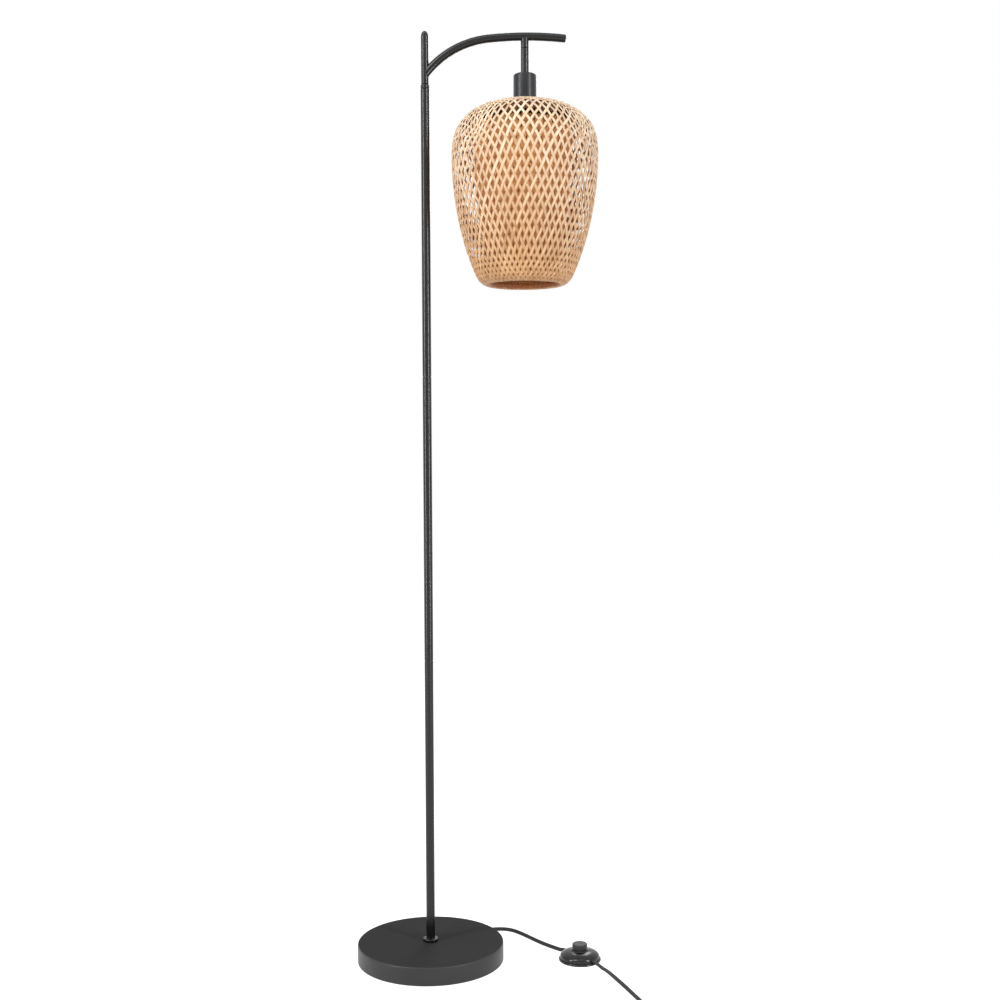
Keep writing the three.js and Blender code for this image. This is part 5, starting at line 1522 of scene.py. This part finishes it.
    def lay_weld(self) -> None:
        """Makes the weld bead where the arm meets the stem, closed on itself.

        Formula: the point at turn t lies on the arm's skin where it enters the stem's skin, so its
        X is the root of the stem's radius squared less the arm's Y squared.
        """
        t = np.linspace(0.0, FULL_TURN, 73)[:-1]
        radius, sin_a, cos_a = self.arm_radius, math.sin(self.arm_angle), math.cos(self.arm_angle)
        y = radius * np.sin(t)
        x = np.sqrt(np.clip(self.stem_radius**2 - y**2, 0.4, None))
        along = (x + radius * np.cos(t) * sin_a) / cos_a
        z = self.arm_start + along * sin_a + radius * np.cos(t) * cos_a
        middle = np.stack([x, y, z], axis=-1)
        heading = unit(np.roll(middle, -1, axis=0) - np.roll(middle, 1, axis=0))
        side = np.cross(heading, unit(middle - [0.0, 0.0, self.arm_start + self.weld_lean]))
        out = np.cross(side, heading)
        bead = ring_section(self.weld_radius, 12)[None]
        rings = middle[:, None] + bead[..., :1] * side[:, None] + bead[..., 1:] * out[:, None]
        make_piece("arm_weld", tube(np.concatenate([rings, rings[:1]]), capped=False), PAINT)

    def plug_arm(self) -> None:
        """Makes the domed plug in the arm's end, turned from upright onto the arm's axis."""
        cos, sin = math.cos(self.end_angle), math.sin(self.end_angle)
        plug = (self.arm_cap_plug, -self.arm_cap_depth)
        upright = lathe(domed_plug(plug, self.arm_radius, SEAM, self.arm_cap_rise, 12), 64)
        laid = upright.mapped([sin, 0.0, -cos], [0.0, 1.0, 0.0], [cos, 0.0, sin])
        surface = laid.moved(*self.arm_axis(np.array([self.end_angle]))[0])
        make_piece("arm_cap_dome", surface, PAINT, ("arm_end_cap",))

    def turn_cup(self) -> None:
        """Makes the lampholder's cup: nearly straight sides and a rounded upper edge."""
        low, high = (corner[2] for corner in node_span("socket_cup"))
        shoulder, edge, wall = self.cup_shoulder, self.cup_edge, self.cup_wall
        outer = outer_edge(shoulder, high, edge, 12)
        inner = arc((shoulder - edge, high - edge), edge - wall, QUARTER, 0.0, 6)
        foot = [[self.cup_foot - wall, low], [self.cup_foot, low]]
        bore = [[self.drop_bore, high], [self.drop_bore, high - wall]]
        surface = lathe(closed(foot, outer, bore, inner), 128).moved(SHADE_X, 0.0, 0.0)
        make_piece("cup_shell", surface, CUP_PAINT, ("socket_cup",))

    def mould_relief(self) -> None:
        """Makes the strain relief: a flange on the skirt and a ribbed taper to the cord.

        Formula: the taper's radius falls evenly along it, less a small wave between its ribs.
        """
        out, radius = BASE_RADIUS + self.flange_thickness, self.relief_radius
        reach = np.linspace(0.0, self.relief_length, 61)
        taper = radius - self.relief_taper * reach / self.relief_length
        ribbed = (reach > self.rib_span[0]) & (reach < self.rib_span[1])
        wave = np.sin(reach * FULL_TURN / self.rib_pitch - QUARTER)
        rib = self.rib_height * np.clip(wave, 0.0, 1.0) * ribbed
        inside = [[width, out - self.relief_inside] for width in (0.0, radius)]
        seat = [[width, BASE_RADIUS + self.flange_gap] for width in (radius, self.flange_radius)]
        lip = outer_edge(self.flange_radius, out, self.flange_edge, 4)
        body = np.stack([taper - rib, out + reach], axis=-1)
        tip = [[width, BASE_RADIUS + RELIEF_REACH] for width in (self.relief_tip, 0.0)]
        upright = lathe(np.vstack([inside, seat, lip, body, tip]), 48)
        laid = upright.mapped([0.0, 0.0, -1.0], [0.0, 1.0, 0.0], [1.0, 0.0, 0.0])
        surface = laid.moved(0.0, 0.0, CORD_EXIT_HEIGHT).turned(CORD_EXIT_ANGLE)
        make_piece("cord_relief", surface, MOULDED, ("strain_relief",))

    def build(self) -> None:
        """Makes the stand's pieces in order, from the floor up."""
        self.press_base()
        self.turn_collar()
        self.mould_relief()
        for node in ("pole_lower", "pole_middle", "pole_upper"):
            self.raise_tube(f"{node}_tube", node, self.pole_radius, self.pole_bore)
        self.turn_ferrule()
        self.raise_tube("stem_post", "stem_tube", self.stem_radius, self.stem_bore)
        self.turn_finial()
        self.bend_arm()
        self.lay_weld()
        self.plug_arm()
        for node, name in (("arm_stub", "arm_stub_tube"), ("drop_rod", "drop_tube")):
            self.raise_tube(name, node, self.drop_radius, self.drop_bore, SHADE_X)
        self.turn_cup()


# Woven shade


class Family(Enum):
    """The two families of splints, by the way they wind as they go down the wall."""

    RISING = 1
    FALLING = -1


Exits = tuple[tuple[Family, int], ...]


@dataclass
class Basket:
    """The woven shade: a plaited square mat over the crown, its splints' ends woven on as the wall.

    The weave is laid out by two numbers: u counts splints round the shade and v counts crossings
    down the wall. A splint keeps u - v/2, or u + v/2, and passes over and under by turns.
    """

    lean: float = 2.1
    top: float = 1486.0
    crown_height: float = 95.3
    radius: float = 126.5
    crown_fullness: float = 2.71
    belly_depth: float = 287.3
    belly_fullness: float = 1.82
    bottom: float = 1173.1
    rim_start: float = 14.4
    rim_curl: float = 14.0
    rim_dip: float = 9.6
    rim_lip: float = 10.8
    throat: float = 57.5
    # The throat's margin, fade and tone set where the mouth's painted shade lies.
    throat_margin: float = 4.0
    throat_fade: float = 3.0
    throat_shade_tone: float = 2.0
    wall: float = 2.4
    strands: int = 60
    first_corner: float = math.radians(-135)
    mat_half: float = 94.3
    hole: float = 20.6
    backing_hole: float = 34.0
    backing_width: float = 8.7
    backing_depth: float = 3.3
    backing_reach: float = 109.0
    blend_rows: float = 8.0
    samples_per_row: int = 4
    splint_width: float = 3.95
    splint_thickness: float = 0.8
    lift: float = 0.5
    skin_depth: float = 0.95
    sway: float = 0.42
    sway_waves: int = 9
    width_spread: float = 0.09
    width_waves: int = 7
    own_widths: Pair = (0.93, 1.07)
    widening: float = 0.17
    widening_drop: float = 60.0
    rim_widening: float = 0.16
    family_spread: float = 0.05
    family_tone: float = 0.24
    pattern_length: float = 900.0
    liner_height: float = 274.6
    liner_top: float = 83.0
    liner_swell: float = 5.0
    liner_flare: float = 7.6
    liner_shares: Pair = (0.2, 0.55)
    liner_rows: float = 27.0
    liner_samples: int = 3
    liner_width: float = 5.2
    liner_lift: float = 0.55
    liner_shift: float = 3.5
    hoop_tone: float = 0.6
    rows: tuple[float, ...] = (0.0, 2.0, 5.0, 9.0, 13.0, 17.0, 19.0, 22.0, 28.0)
    row_places: tuple[float, ...] = (94.3, 122.3, 160.8, 221.0, 277.5, 333.3, 362.1, 392.5, 437.0)

    @property
    def waist(self) -> float:
        """The height of the widest row."""
        return self.top - self.crown_height

    @property
    def side(self) -> int:
        """How many splints leave each side of the mat."""
        return self.strands // 4

    @property
    def pitch(self) -> float:
        """The distance between splints along a side of the mat."""
        return 2 * self.mat_half / self.side

    def axis_at(self, height: Points) -> Points:
        """Returns the shade's leaning axis, as X at a height."""
        return SHADE_X - self.lean * (self.top - height) / (self.top - self.bottom)

    def rounded(self, share: Points, fullness: float) -> Points:
        """Returns what a full oval leaves of one half-axis where the other is used up by a share."""
        return np.clip(1 - np.clip(share, 0.0, 1.0) ** fullness, 0.0, None) ** (1 / fullness)

    def outline(self) -> Points:
        """Works out the outer skin, from its middle round to the rim's lip.

        Formula: a full oval crown, a longer full oval belly, and a pulled curve that rolls under
        the rim and up into the throat.

        Returns:
            Rows of radius and height.
        """
        r = self.radius * np.sin(np.linspace(0.0, QUARTER, 240))
        crown_left = self.rounded(r / self.radius, self.crown_fullness)
        crown = np.stack([r, self.waist + self.crown_height * crown_left], axis=-1)
        depth = np.linspace(0.0, self.waist - self.bottom - self.rim_start, 240)[1:]
        belly_left = self.rounded(depth / self.belly_depth, self.belly_fullness)
        belly = np.stack([self.radius * belly_left, self.waist - depth], axis=-1)
        heading = unit(belly[-1] - belly[-2])
        low, lip = self.bottom - self.rim_dip, self.bottom + self.rim_lip
        knots = [belly[-1], belly[-1] + heading * self.rim_curl, [self.throat, low], [self.throat, lip]]
        return np.vstack([crown, belly, pulled_curve(knots, 80)[1:]])

    def liner_outline(self) -> Points:
        """Works out the liner's middle line, from the throat up to its hoop.

        Returns:
            Rows of radius and height.
        """
        foot, top = self.bottom + self.rim_lip, self.bottom + self.liner_height
        low, upper = self.throat + self.wall, self.liner_top + self.liner_swell
        flare, swell = (foot + (top - foot) * share for share in self.liner_shares)
        knots = [[low, foot], [low + self.liner_flare, flare], [upper, swell], [self.liner_top, top]]
        line = pulled_curve(knots, 200)
        line[:, 0] -= self.wall / 2
        return line

    def perimeter(self, u: Points) -> tuple[Points, Points]:
        """Works out the mat's edge at u splints round from its front left corner.

        Args:
            u: How many splints round.

        Returns:
            The places' x and y.
        """
        quarter = np.floor(u / self.side) % 4
        run = (u % self.side) * self.pitch - self.mat_half
        half = self.mat_half
        x = np.select([quarter == 0, quarter == 1, quarter == 2], [run, half, -run], -half)
        y = np.select([quarter == 0, quarter == 1, quarter == 2], [-half, run, half], -run)
        return x, y

    def row_place(self, v: Points) -> Points:
        """Works out how far from the crown's middle, along the skin, a row of crossings lies.

        Formula: a smooth curve through a few chosen rows, its slope at each the mean of the two
        spans beside it.

        Args:
            v: How many rows down the wall.

        Returns:
            The distances in mm.
        """
        rows, places = np.array(self.rows), np.array(self.row_places)
        slope = np.gradient(places, rows)
        k = np.clip(np.searchsorted(rows, v, side="right") - 1, 0, len(rows) - 2)
        span = rows[k + 1] - rows[k]
        t = (v - rows[k]) / span
        start = places[k] * (2 * t**3 - 3 * t**2 + 1) + slope[k] * span * (t**3 - 2 * t**2 + t)
        return start + places[k + 1] * (3 * t**2 - 2 * t**3) + slope[k + 1] * span * (t**3 - t**2)

    def wall_spot(self, u: Points, v: Points) -> tuple[Points, Points]:
        """Works out a place on the wall.

        Formula: at v = 0 the square mat's edge; from there it blends, eased over a few rows, into
        level rows with splints at even angles.

        Args:
            u: How many splints round.
            v: How many rows down.

        Returns:
            The way from the crown's middle, and the azimuth.
        """
        x, y = self.perimeter(u)
        even = self.first_corner + FULL_TURN * u / self.strands
        bent = (np.arctan2(y, x) - even + math.pi) % FULL_TURN - math.pi
        free = 1 - ease(v / self.blend_rows)
        return self.row_place(v) + (np.hypot(x, y) - self.mat_half) * free, even + bent * free

    def skin_point(self, line: Points, way: Points, azimuth: Points, rise: Points) -> tuple[Points, Points]:
        """Works out points on a turned skin.

        Formula: a place's radius and height come from the line at its way; its normal is square to
        the line's slope, turned to its azimuth, and lifts it by its rise.

        Args:
            line: The skin's radius and height.
            way: Each point's distance along that line.
            azimuth: Its angle round the shade's axis.
            rise: How far it stands off the skin.

        Returns:
            The points and the unit normals.
        """
        along = way_along(line)
        slope = unit(np.gradient(line, axis=0))
        radius, height = (np.interp(way, along, line[:, k]) for k in (0, 1))
        run, fall = (np.interp(way, along, slope[:, k]) for k in (0, 1))
        size = np.hypot(fall, run)
        out, up = -fall / size, run / size
        cos, sin = np.cos(azimuth), np.sin(azimuth)
        normal = np.stack([out * cos, out * sin, up], axis=-1)
        point = np.stack([self.axis_at(height) + radius * cos, radius * sin, height], axis=-1)
        return point + rise[..., None] * normal, normal

    def widths(self, width: float | Points, drop: Points, draw: np.random.Generator, seed: int) -> Points:
        """Works out how wide each splint is along its way.

        Formula: the mean width, times a soft wander, times a draw for each splint, wider by one
        eased share down the shoulder and by another at the rim.

        Args:
            width: The mean width, for all splints or for each.
            drop: How far below the shade's top each place is.
            draw: The random generator.
            seed: The seed of the wander.

        Returns:
            The widths, an array (lines, steps).
        """
        lines, steps = drop.shape
        own = width * (1 + self.width_spread * wander(lines, steps, self.width_waves, seed + 1))
        own = own * draw.uniform(*self.own_widths, (lines, 1))
        own = own * (1 + self.widening * ease(drop / self.widening_drop - 0.5))
        return own * (1 + self.rim_widening * ease((drop - self.belly_depth) / self.rim_start))

    def splints(
        self,
        point: Points,
        normal: Points,
        width: float | Points,
        strip: Points,
        seed: int,
        wind: float | Points = 0.0,
    ) -> Surface:
        """Wraps a flat splint round each line of points.

        Formula: across is square to the heading and the normal; each splint's sideways place
        wanders a little, and inside the throat its tone is raised past one, a painted shade there.

        Args:
            point: An array (lines, steps, 3).
            normal: The skin's normals there.
            width: The splints' mean width, for all lines or for each.
            strip: The section's corners, as shares of half the width and of the thickness.
            seed: The seed of the splints' small differences.
            wind: Each line's family as one or minus one, or 0 where the families look alike.

        Returns:
            The splints, with flow along and across each, and each line's own tone.
        """
        lines, steps = point.shape[:2]
        heading = unit(np.gradient(point, axis=1))
        across = unit(np.cross(heading, normal))
        through = np.cross(across, heading)
        drop = self.top - point[..., 2]
        point = point + across * (self.sway * wander(lines, steps, self.sway_waves, seed))[..., None]
        draw = np.random.default_rng(seed)
        a = strip[None, None, :, 0] * self.widths(width, drop, draw, seed)[..., None] / 2
        t = np.broadcast_to(strip[None, None, :, 1] * self.splint_thickness, a.shape)
        rings = point[..., None, :] + a[..., None] * across[..., None, :]
        surface = tube(rings + t[..., None] * through[..., None, :])
        steps_along = np.linalg.norm(np.diff(point, axis=1, prepend=point[:, :1]), axis=-1)
        way = np.cumsum(steps_along, axis=1) + draw.uniform(0.0, self.pattern_length, (lines, 1))
        surface.flow = np.stack(np.broadcast_arrays(way[..., None], a), axis=-1).reshape(-1, 2)
        own = draw.uniform(0.0, 1.0, (lines, 1)) * (1 - self.family_tone)
        own = own + self.family_tone * (1 + np.asarray(wind)) / 2
        x, y, z = surface.points.T
        # Inside the throat the tone is raised past one, which the finish paints as shade.
        inwards = self.throat + self.throat_margin - np.hypot(x - self.axis_at(z), y)
        throat_shade = self.throat_shade_tone * ease(inwards / self.throat_fade) * (z < self.bottom + self.rim_lip)
        surface.tone = np.broadcast_to(own[..., None], a.shape).ravel() + throat_shade
        return surface

    def half_strands(self, index: int, families: Exits, seed: int, shade_backing: bool) -> Surface:
        """Weaves the strands that leave the mat at one place of its sides, each with half its mat run.

        Formula: w counts a strand's crossings, negative on the mat and v on the wall. On the mat it
        runs straight from its exit, half a pitch square to the side and half a pitch along it for
        each crossing; on the wall u is the exit plus or minus w/2. It rises and falls as the cosine
        of w half-turns, the two families by turns. It starts at its mat run's middle, or at the
        hole round the lampholder.

        Args:
            index: Which of a side's exits, counted from the corner that its mat run starts near.
            families: Pairs of a family and the side on which it leaves.
            seed: The seed of the small differences.
            shade_backing: Whether it is the dark mat under the crown, a painted shade in the crown's gaps,
                which ends at its own reach.

        Returns:
            The strands' surface.
        """
        side, pitch, run = self.side, self.pitch, index + 0.5
        off_middle = (side - run) * pitch / math.sqrt(2)
        hole = self.backing_hole if shade_backing else self.hole
        start = math.sqrt(max(hole**2 - off_middle**2, 0.0)) * math.sqrt(2) / pitch - run
        last = self.backing_end(index) if shade_backing else self.rows[-1]
        w = np.linspace(start, last, round((last - start) * self.samples_per_row) + 1)

        wind = np.array([family.value for family, _ in families])[:, None]
        quarter = np.array([quarter for _, quarter in families])[:, None]
        exit_u = side * quarter + np.where(wind > 0, run, side - run)
        exit_x, exit_y = self.perimeter(exit_u)
        turn = quarter * QUARTER - QUARTER
        out_x, out_y = np.round(np.cos(turn)), np.round(np.sin(turn))
        inside = np.minimum(w, 0.0)[None] * pitch / 2
        x = exit_x + inside * (out_x - wind * out_y)
        y = exit_y + inside * (out_y + wind * out_x)
        on_wall = np.maximum(w, 0.0)[None]
        wall_way, wall_turn = self.wall_spot(exit_u + wind * on_wall / 2, on_wall)
        way = np.where(w < 0, np.hypot(x, y), wall_way)
        azimuth = np.where(w < 0, np.arctan2(y, x), wall_turn)

        depth = self.backing_depth if shade_backing else self.skin_depth
        width = self.backing_width if shade_backing else self.splint_width
        rise = self.lift * np.cos(math.pi * w)[None] * wind - depth
        point, normal = self.skin_point(self.outline(), way, azimuth, rise)
        return self.splints(point, normal, width * (1 - self.family_spread * wind), CROWNED_STRIP, seed, wind)

    def backing_end(self, index: int) -> float:
        """Works out where a strand of the backing ends, in crossings past the mat's side.

        Formula: what is left of the backing's reach beyond the strand's exit, over half a pitch.

        Args:
            index: Which of a side's exits, counted from the corner that its mat run starts near.

        Returns:
            The crossings past the side, negative where the strand ends on the mat.
        """
        off_middle = self.mat_half - (index + 0.5) * self.pitch
        return 2 * (self.backing_reach - math.hypot(self.mat_half, off_middle)) / self.pitch

    def layer(self, odd: int, seed: int, shade_backing: bool = False) -> Surface:
        """Weaves all strands whose mat runs lie one way, so that the shade is two pieces.

        Args:
            odd: 0 for mat runs from front to left and from back to right, 1 for the others.
            seed: The seed of the small differences.
            shade_backing: Whether it is the dark mat under the crown, a painted shade.

        Returns:
            The strands' surface.
        """
        rising = tuple((Family.RISING, quarter) for quarter in range(4) if quarter % 2 == odd)
        falling = tuple((Family.FALLING, quarter) for quarter in range(4) if quarter % 2 != odd)
        places = [k for k in range(self.side) if not shade_backing or self.backing_end(k) > 0.5 - k]
        return joined(*(self.half_strands(k, rising + falling, seed + k, shade_backing) for k in places))

    def liner(self, seed: int) -> Surface:
        """Weaves the inner shade: wider splints, close, from the rim's lip to the hoop.

        Formula: as on the outer wall, u moves half a splint for each row and the rows are even.

        Args:
            seed: The seed of the small differences.

        Returns:
            The splints' surface.
        """
        line = self.liner_outline()
        v = np.linspace(0.0, self.liner_rows, round(self.liner_rows * self.liner_samples) + 1)[None]
        wind = np.repeat([1.0, -1.0], self.strands)[:, None]
        exit_u = np.tile(np.arange(self.strands) + 0.5, 2)[:, None]
        azimuth = self.first_corner + FULL_TURN * (exit_u + wind * v / 2) / self.strands
        way = np.broadcast_to(v / self.liner_rows * way_along(line)[-1], azimuth.shape)
        rise = self.liner_lift * np.cos(math.pi * v) * wind
        point, normal = self.skin_point(line, way, azimuth, rise)
        point[..., 0] -= self.liner_shift * ease(v / self.liner_rows * 3)
        return self.splints(point, normal, self.liner_width, FLAT_STRIP, seed)

    def bend_hoop(self) -> None:
        """Makes the split hoop that the liner's upper ends are bound to, all in one tone."""
        radius, height = self.liner_outline()[-1]
        band = [[-1.6, -6.0], [-1.1, -6.4], [-0.5, -6.0], [-0.5, -0.6], [-1.1, -0.2], [-1.6, -0.6]]
        surface = lathe(closed(band) + [radius, height], 120)
        surface = surface.moved(self.axis_at(height) - self.liner_shift, 0.0, 0.0)
        surface.tone = np.full(len(surface.points), self.hoop_tone)
        make_piece("liner_hoop", surface, BAMBOO_INNER_GLOW)

    def build(self) -> None:
        """Makes the two layers of the outer weave, the liner and its hoop."""
        nodes = ("shade_crown", "shade_shoulder", "shade_belly", "shade_rim")
        make_piece("weave_first_way", self.layer(0, seed=11), BAMBOO, nodes)
        make_piece("weave_other_way", self.layer(1, seed=41), BAMBOO)
        # The dark mat under the crown is a painted shade seen through the crown's gaps.
        shade_backing = joined(self.layer(0, seed=101, shade_backing=True), self.layer(1, seed=131, shade_backing=True))
        make_piece("crown_shade_backing", shade_backing, BAMBOO_SHADE_BACK)
        make_piece("liner_weave", self.liner(seed=77), BAMBOO_INNER_GLOW, ("shade_liner",))
        self.bend_hoop()


# Bulb


@dataclass
class Bulb:
    """The amber bulb: a thin blown glass and four filament strips round its mount."""

    radius: float = 32.0
    neck: float = 11.5
    neck_top: float = 1446.1
    neck_foot: float = 1423.1
    swell: float = 1393.1
    pole: float = 1322.0
    shoulder: float = 34.0
    wall: float = 0.7
    strip_low: float = 1362.0
    strip_high: float = 1402.0
    strip_spread: float = 7.0
    strip_gather: float = 0.45
    strip_width: float = 1.6
    strip_thickness: float = 0.7

    def blow_glass(self) -> None:
        """Makes the blown glass: straight neck, soft swell, and half a ball below.

        Formula: a pulled curve joins the neck to the widest row, a quarter circle closes it below;
        the inner skin is the outer one moved in by the wall.
        """
        widest = self.pole + self.radius
        neck, swell = [self.neck, self.neck_foot], [self.neck, self.swell]
        bent = pulled_curve([neck, swell, [self.radius, widest + self.shoulder], [self.radius, widest]], 40)
        ball = arc((0.0, widest), self.radius, 0.0, -QUARTER, 24)[1:]
        outer = np.vstack([[[self.neck, self.neck_top]], bent, ball])
        way = unit(np.gradient(outer, axis=0))
        inner = outer + np.stack([way[:, 1], -way[:, 0]], axis=-1) * self.wall
        outer[-1, 0] = inner[-1, 0] = 0.0
        surface = lathe(np.vstack([inner[::-1], outer])).moved(SHADE_X, 0.0, 0.0)
        make_piece("bulb_blown_glass", surface, BULB_GLASS, ("bulb_glass",))

    def hang_strips(self) -> None:
        """Makes four thin strips that lean in from a wider foot to the mount's top."""
        share = np.linspace(0.0, 1.0, 9)[:, None]
        out = self.strip_spread * (1.0 - self.strip_gather * share)
        height = self.strip_low + (self.strip_high - self.strip_low) * share
        section = FLAT_STRIP * [self.strip_width / 2, self.strip_thickness]
        strips = []
        for angle in (np.arange(4) + 0.5) * QUARTER:
            path = np.hstack([out * math.cos(angle), out * math.sin(angle), height])
            across = np.broadcast_to([-math.sin(angle), math.cos(angle), 0.0], path.shape)
            strips.append(swept(path, section, across))
        make_piece("bulb_strips", joined(*strips).moved(SHADE_X, 0.0, 0.0), FILAMENT)

    def build(self) -> None:
        """Makes the glass and its strips."""
        self.blow_glass()
        self.hang_strips()


# Foot switch


@dataclass
class FootSwitch:
    """The foot switch: a flange, a low dome with a flat collar, and a push button."""

    flange_radius: float = 36.7
    flange_height: float = 4.0
    flange_edge: float = 2.0
    flange_bevel: float = 1.0
    dome_radius: float = 34.0
    dome_foot: float = 4.3
    dome_side: float = 7.9
    dome_top: float = 19.3
    fullness: float = 1.9
    ring: float = 14.7
    ring_edge: float = 0.6
    shoulder: float = 17.3
    wall: float = 2.0
    shoulder_wall: float = 2.6
    button_radius: float = 13.05
    button_edge: float = 1.6
    button_bevel: float = 0.3
    neck_radius: float = 11.2
    neck_foot: float = 14.6
    neck_gap: float = 0.4
    cap_low: float = 22.7
    cap_top: float = 28.9
    hollow: tuple[Pair, ...] = ((8.0, 0.25), (4.0, 0.42), (0.0, 0.5))

    def turn(self, profile: Points, sides: int = 96) -> Surface:
        """Returns a profile turned round the switch's own middle, and laid in its place."""
        return lathe(profile, sides).turned(SWITCH_ANGLE).moved(SWITCH_X, SWITCH_Y, 0.0)

    def make_flange(self) -> None:
        """Makes the flange plate with its round upper edge."""
        radius, bevel = self.flange_radius, self.flange_bevel
        foot = [[0.0, 0.0], [radius - bevel, 0.0], [radius, bevel]]
        rounded = outer_edge(radius, self.flange_height, self.flange_edge)
        surface = self.turn(np.vstack([foot, rounded, [[0.0, self.flange_height]]]))
        make_piece("switch_flange", surface, GLOSSY, ("switch_base",))

    def make_dome(self) -> None:
        """Makes the dome: an upright foot, a full shoulder, and a flat collar round the button.

        Formula: above the foot the height is a full oval of the radius.
        """
        top, edge, inside = self.dome_top, self.ring_edge, self.dome_radius - self.wall
        bore = self.neck_radius + self.neck_gap
        r = self.shoulder + (self.dome_radius - self.shoulder) * np.sin(np.linspace(0.0, QUARTER, 40))
        oval = np.clip(1 - (r / self.dome_radius) ** self.fullness, 0.0, None) ** (1 / self.fullness)
        dome = np.stack([r, self.dome_side + (top - self.dome_side) * oval], axis=-1)
        lip = arc((self.ring - edge, top - edge), edge, QUARTER, 0.5, 4)
        foot = [[self.dome_radius, self.dome_foot], [inside, self.dome_foot], [inside, self.dome_side]]
        ceiling = [[self.shoulder, top - self.shoulder_wall], [bore, top - self.wall]]
        surface = self.turn(closed([[bore, top]], lip, dome, foot, ceiling), 128)
        make_piece("switch_dome", surface, GLOSSY, ("switch_cover",))

    def make_button(self) -> None:
        """Makes the push button, which moves with its own body: a round cap, faintly hollow, on a neck."""
        radius, neck, bevel = self.button_radius, self.neck_radius, self.button_bevel
        stalk = [[0.0, self.neck_foot], [neck, self.neck_foot], [neck, self.cap_low]]
        foot = [[radius - bevel, self.cap_low], [radius, self.cap_low + bevel]]
        rounded = outer_edge(radius, self.cap_top, self.button_edge)
        hollow = [[place, self.cap_top - depth] for place, depth in self.hollow]
        surface = self.turn(np.vstack([stalk, foot, rounded, hollow]))
        make_piece("switch_push_cap", surface, BUTTON, ("switch_button",), Body.BUTTON)

    def build(self) -> None:
        """Makes the flange, the dome and the button."""
        self.make_flange()
        self.make_dome()
        self.make_button()


def main() -> None:
    """Builds the lamp's classes in order, each of which logs its pieces."""
    logging.basicConfig(level=logging.INFO, format="%(message)s")
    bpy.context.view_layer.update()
    for part in (Studio(), Cord(), Stand(), Basket(), Bulb(), FootSwitch()):
        part.build()
    dress_nodes()


if __name__ == "__main__":
    main()
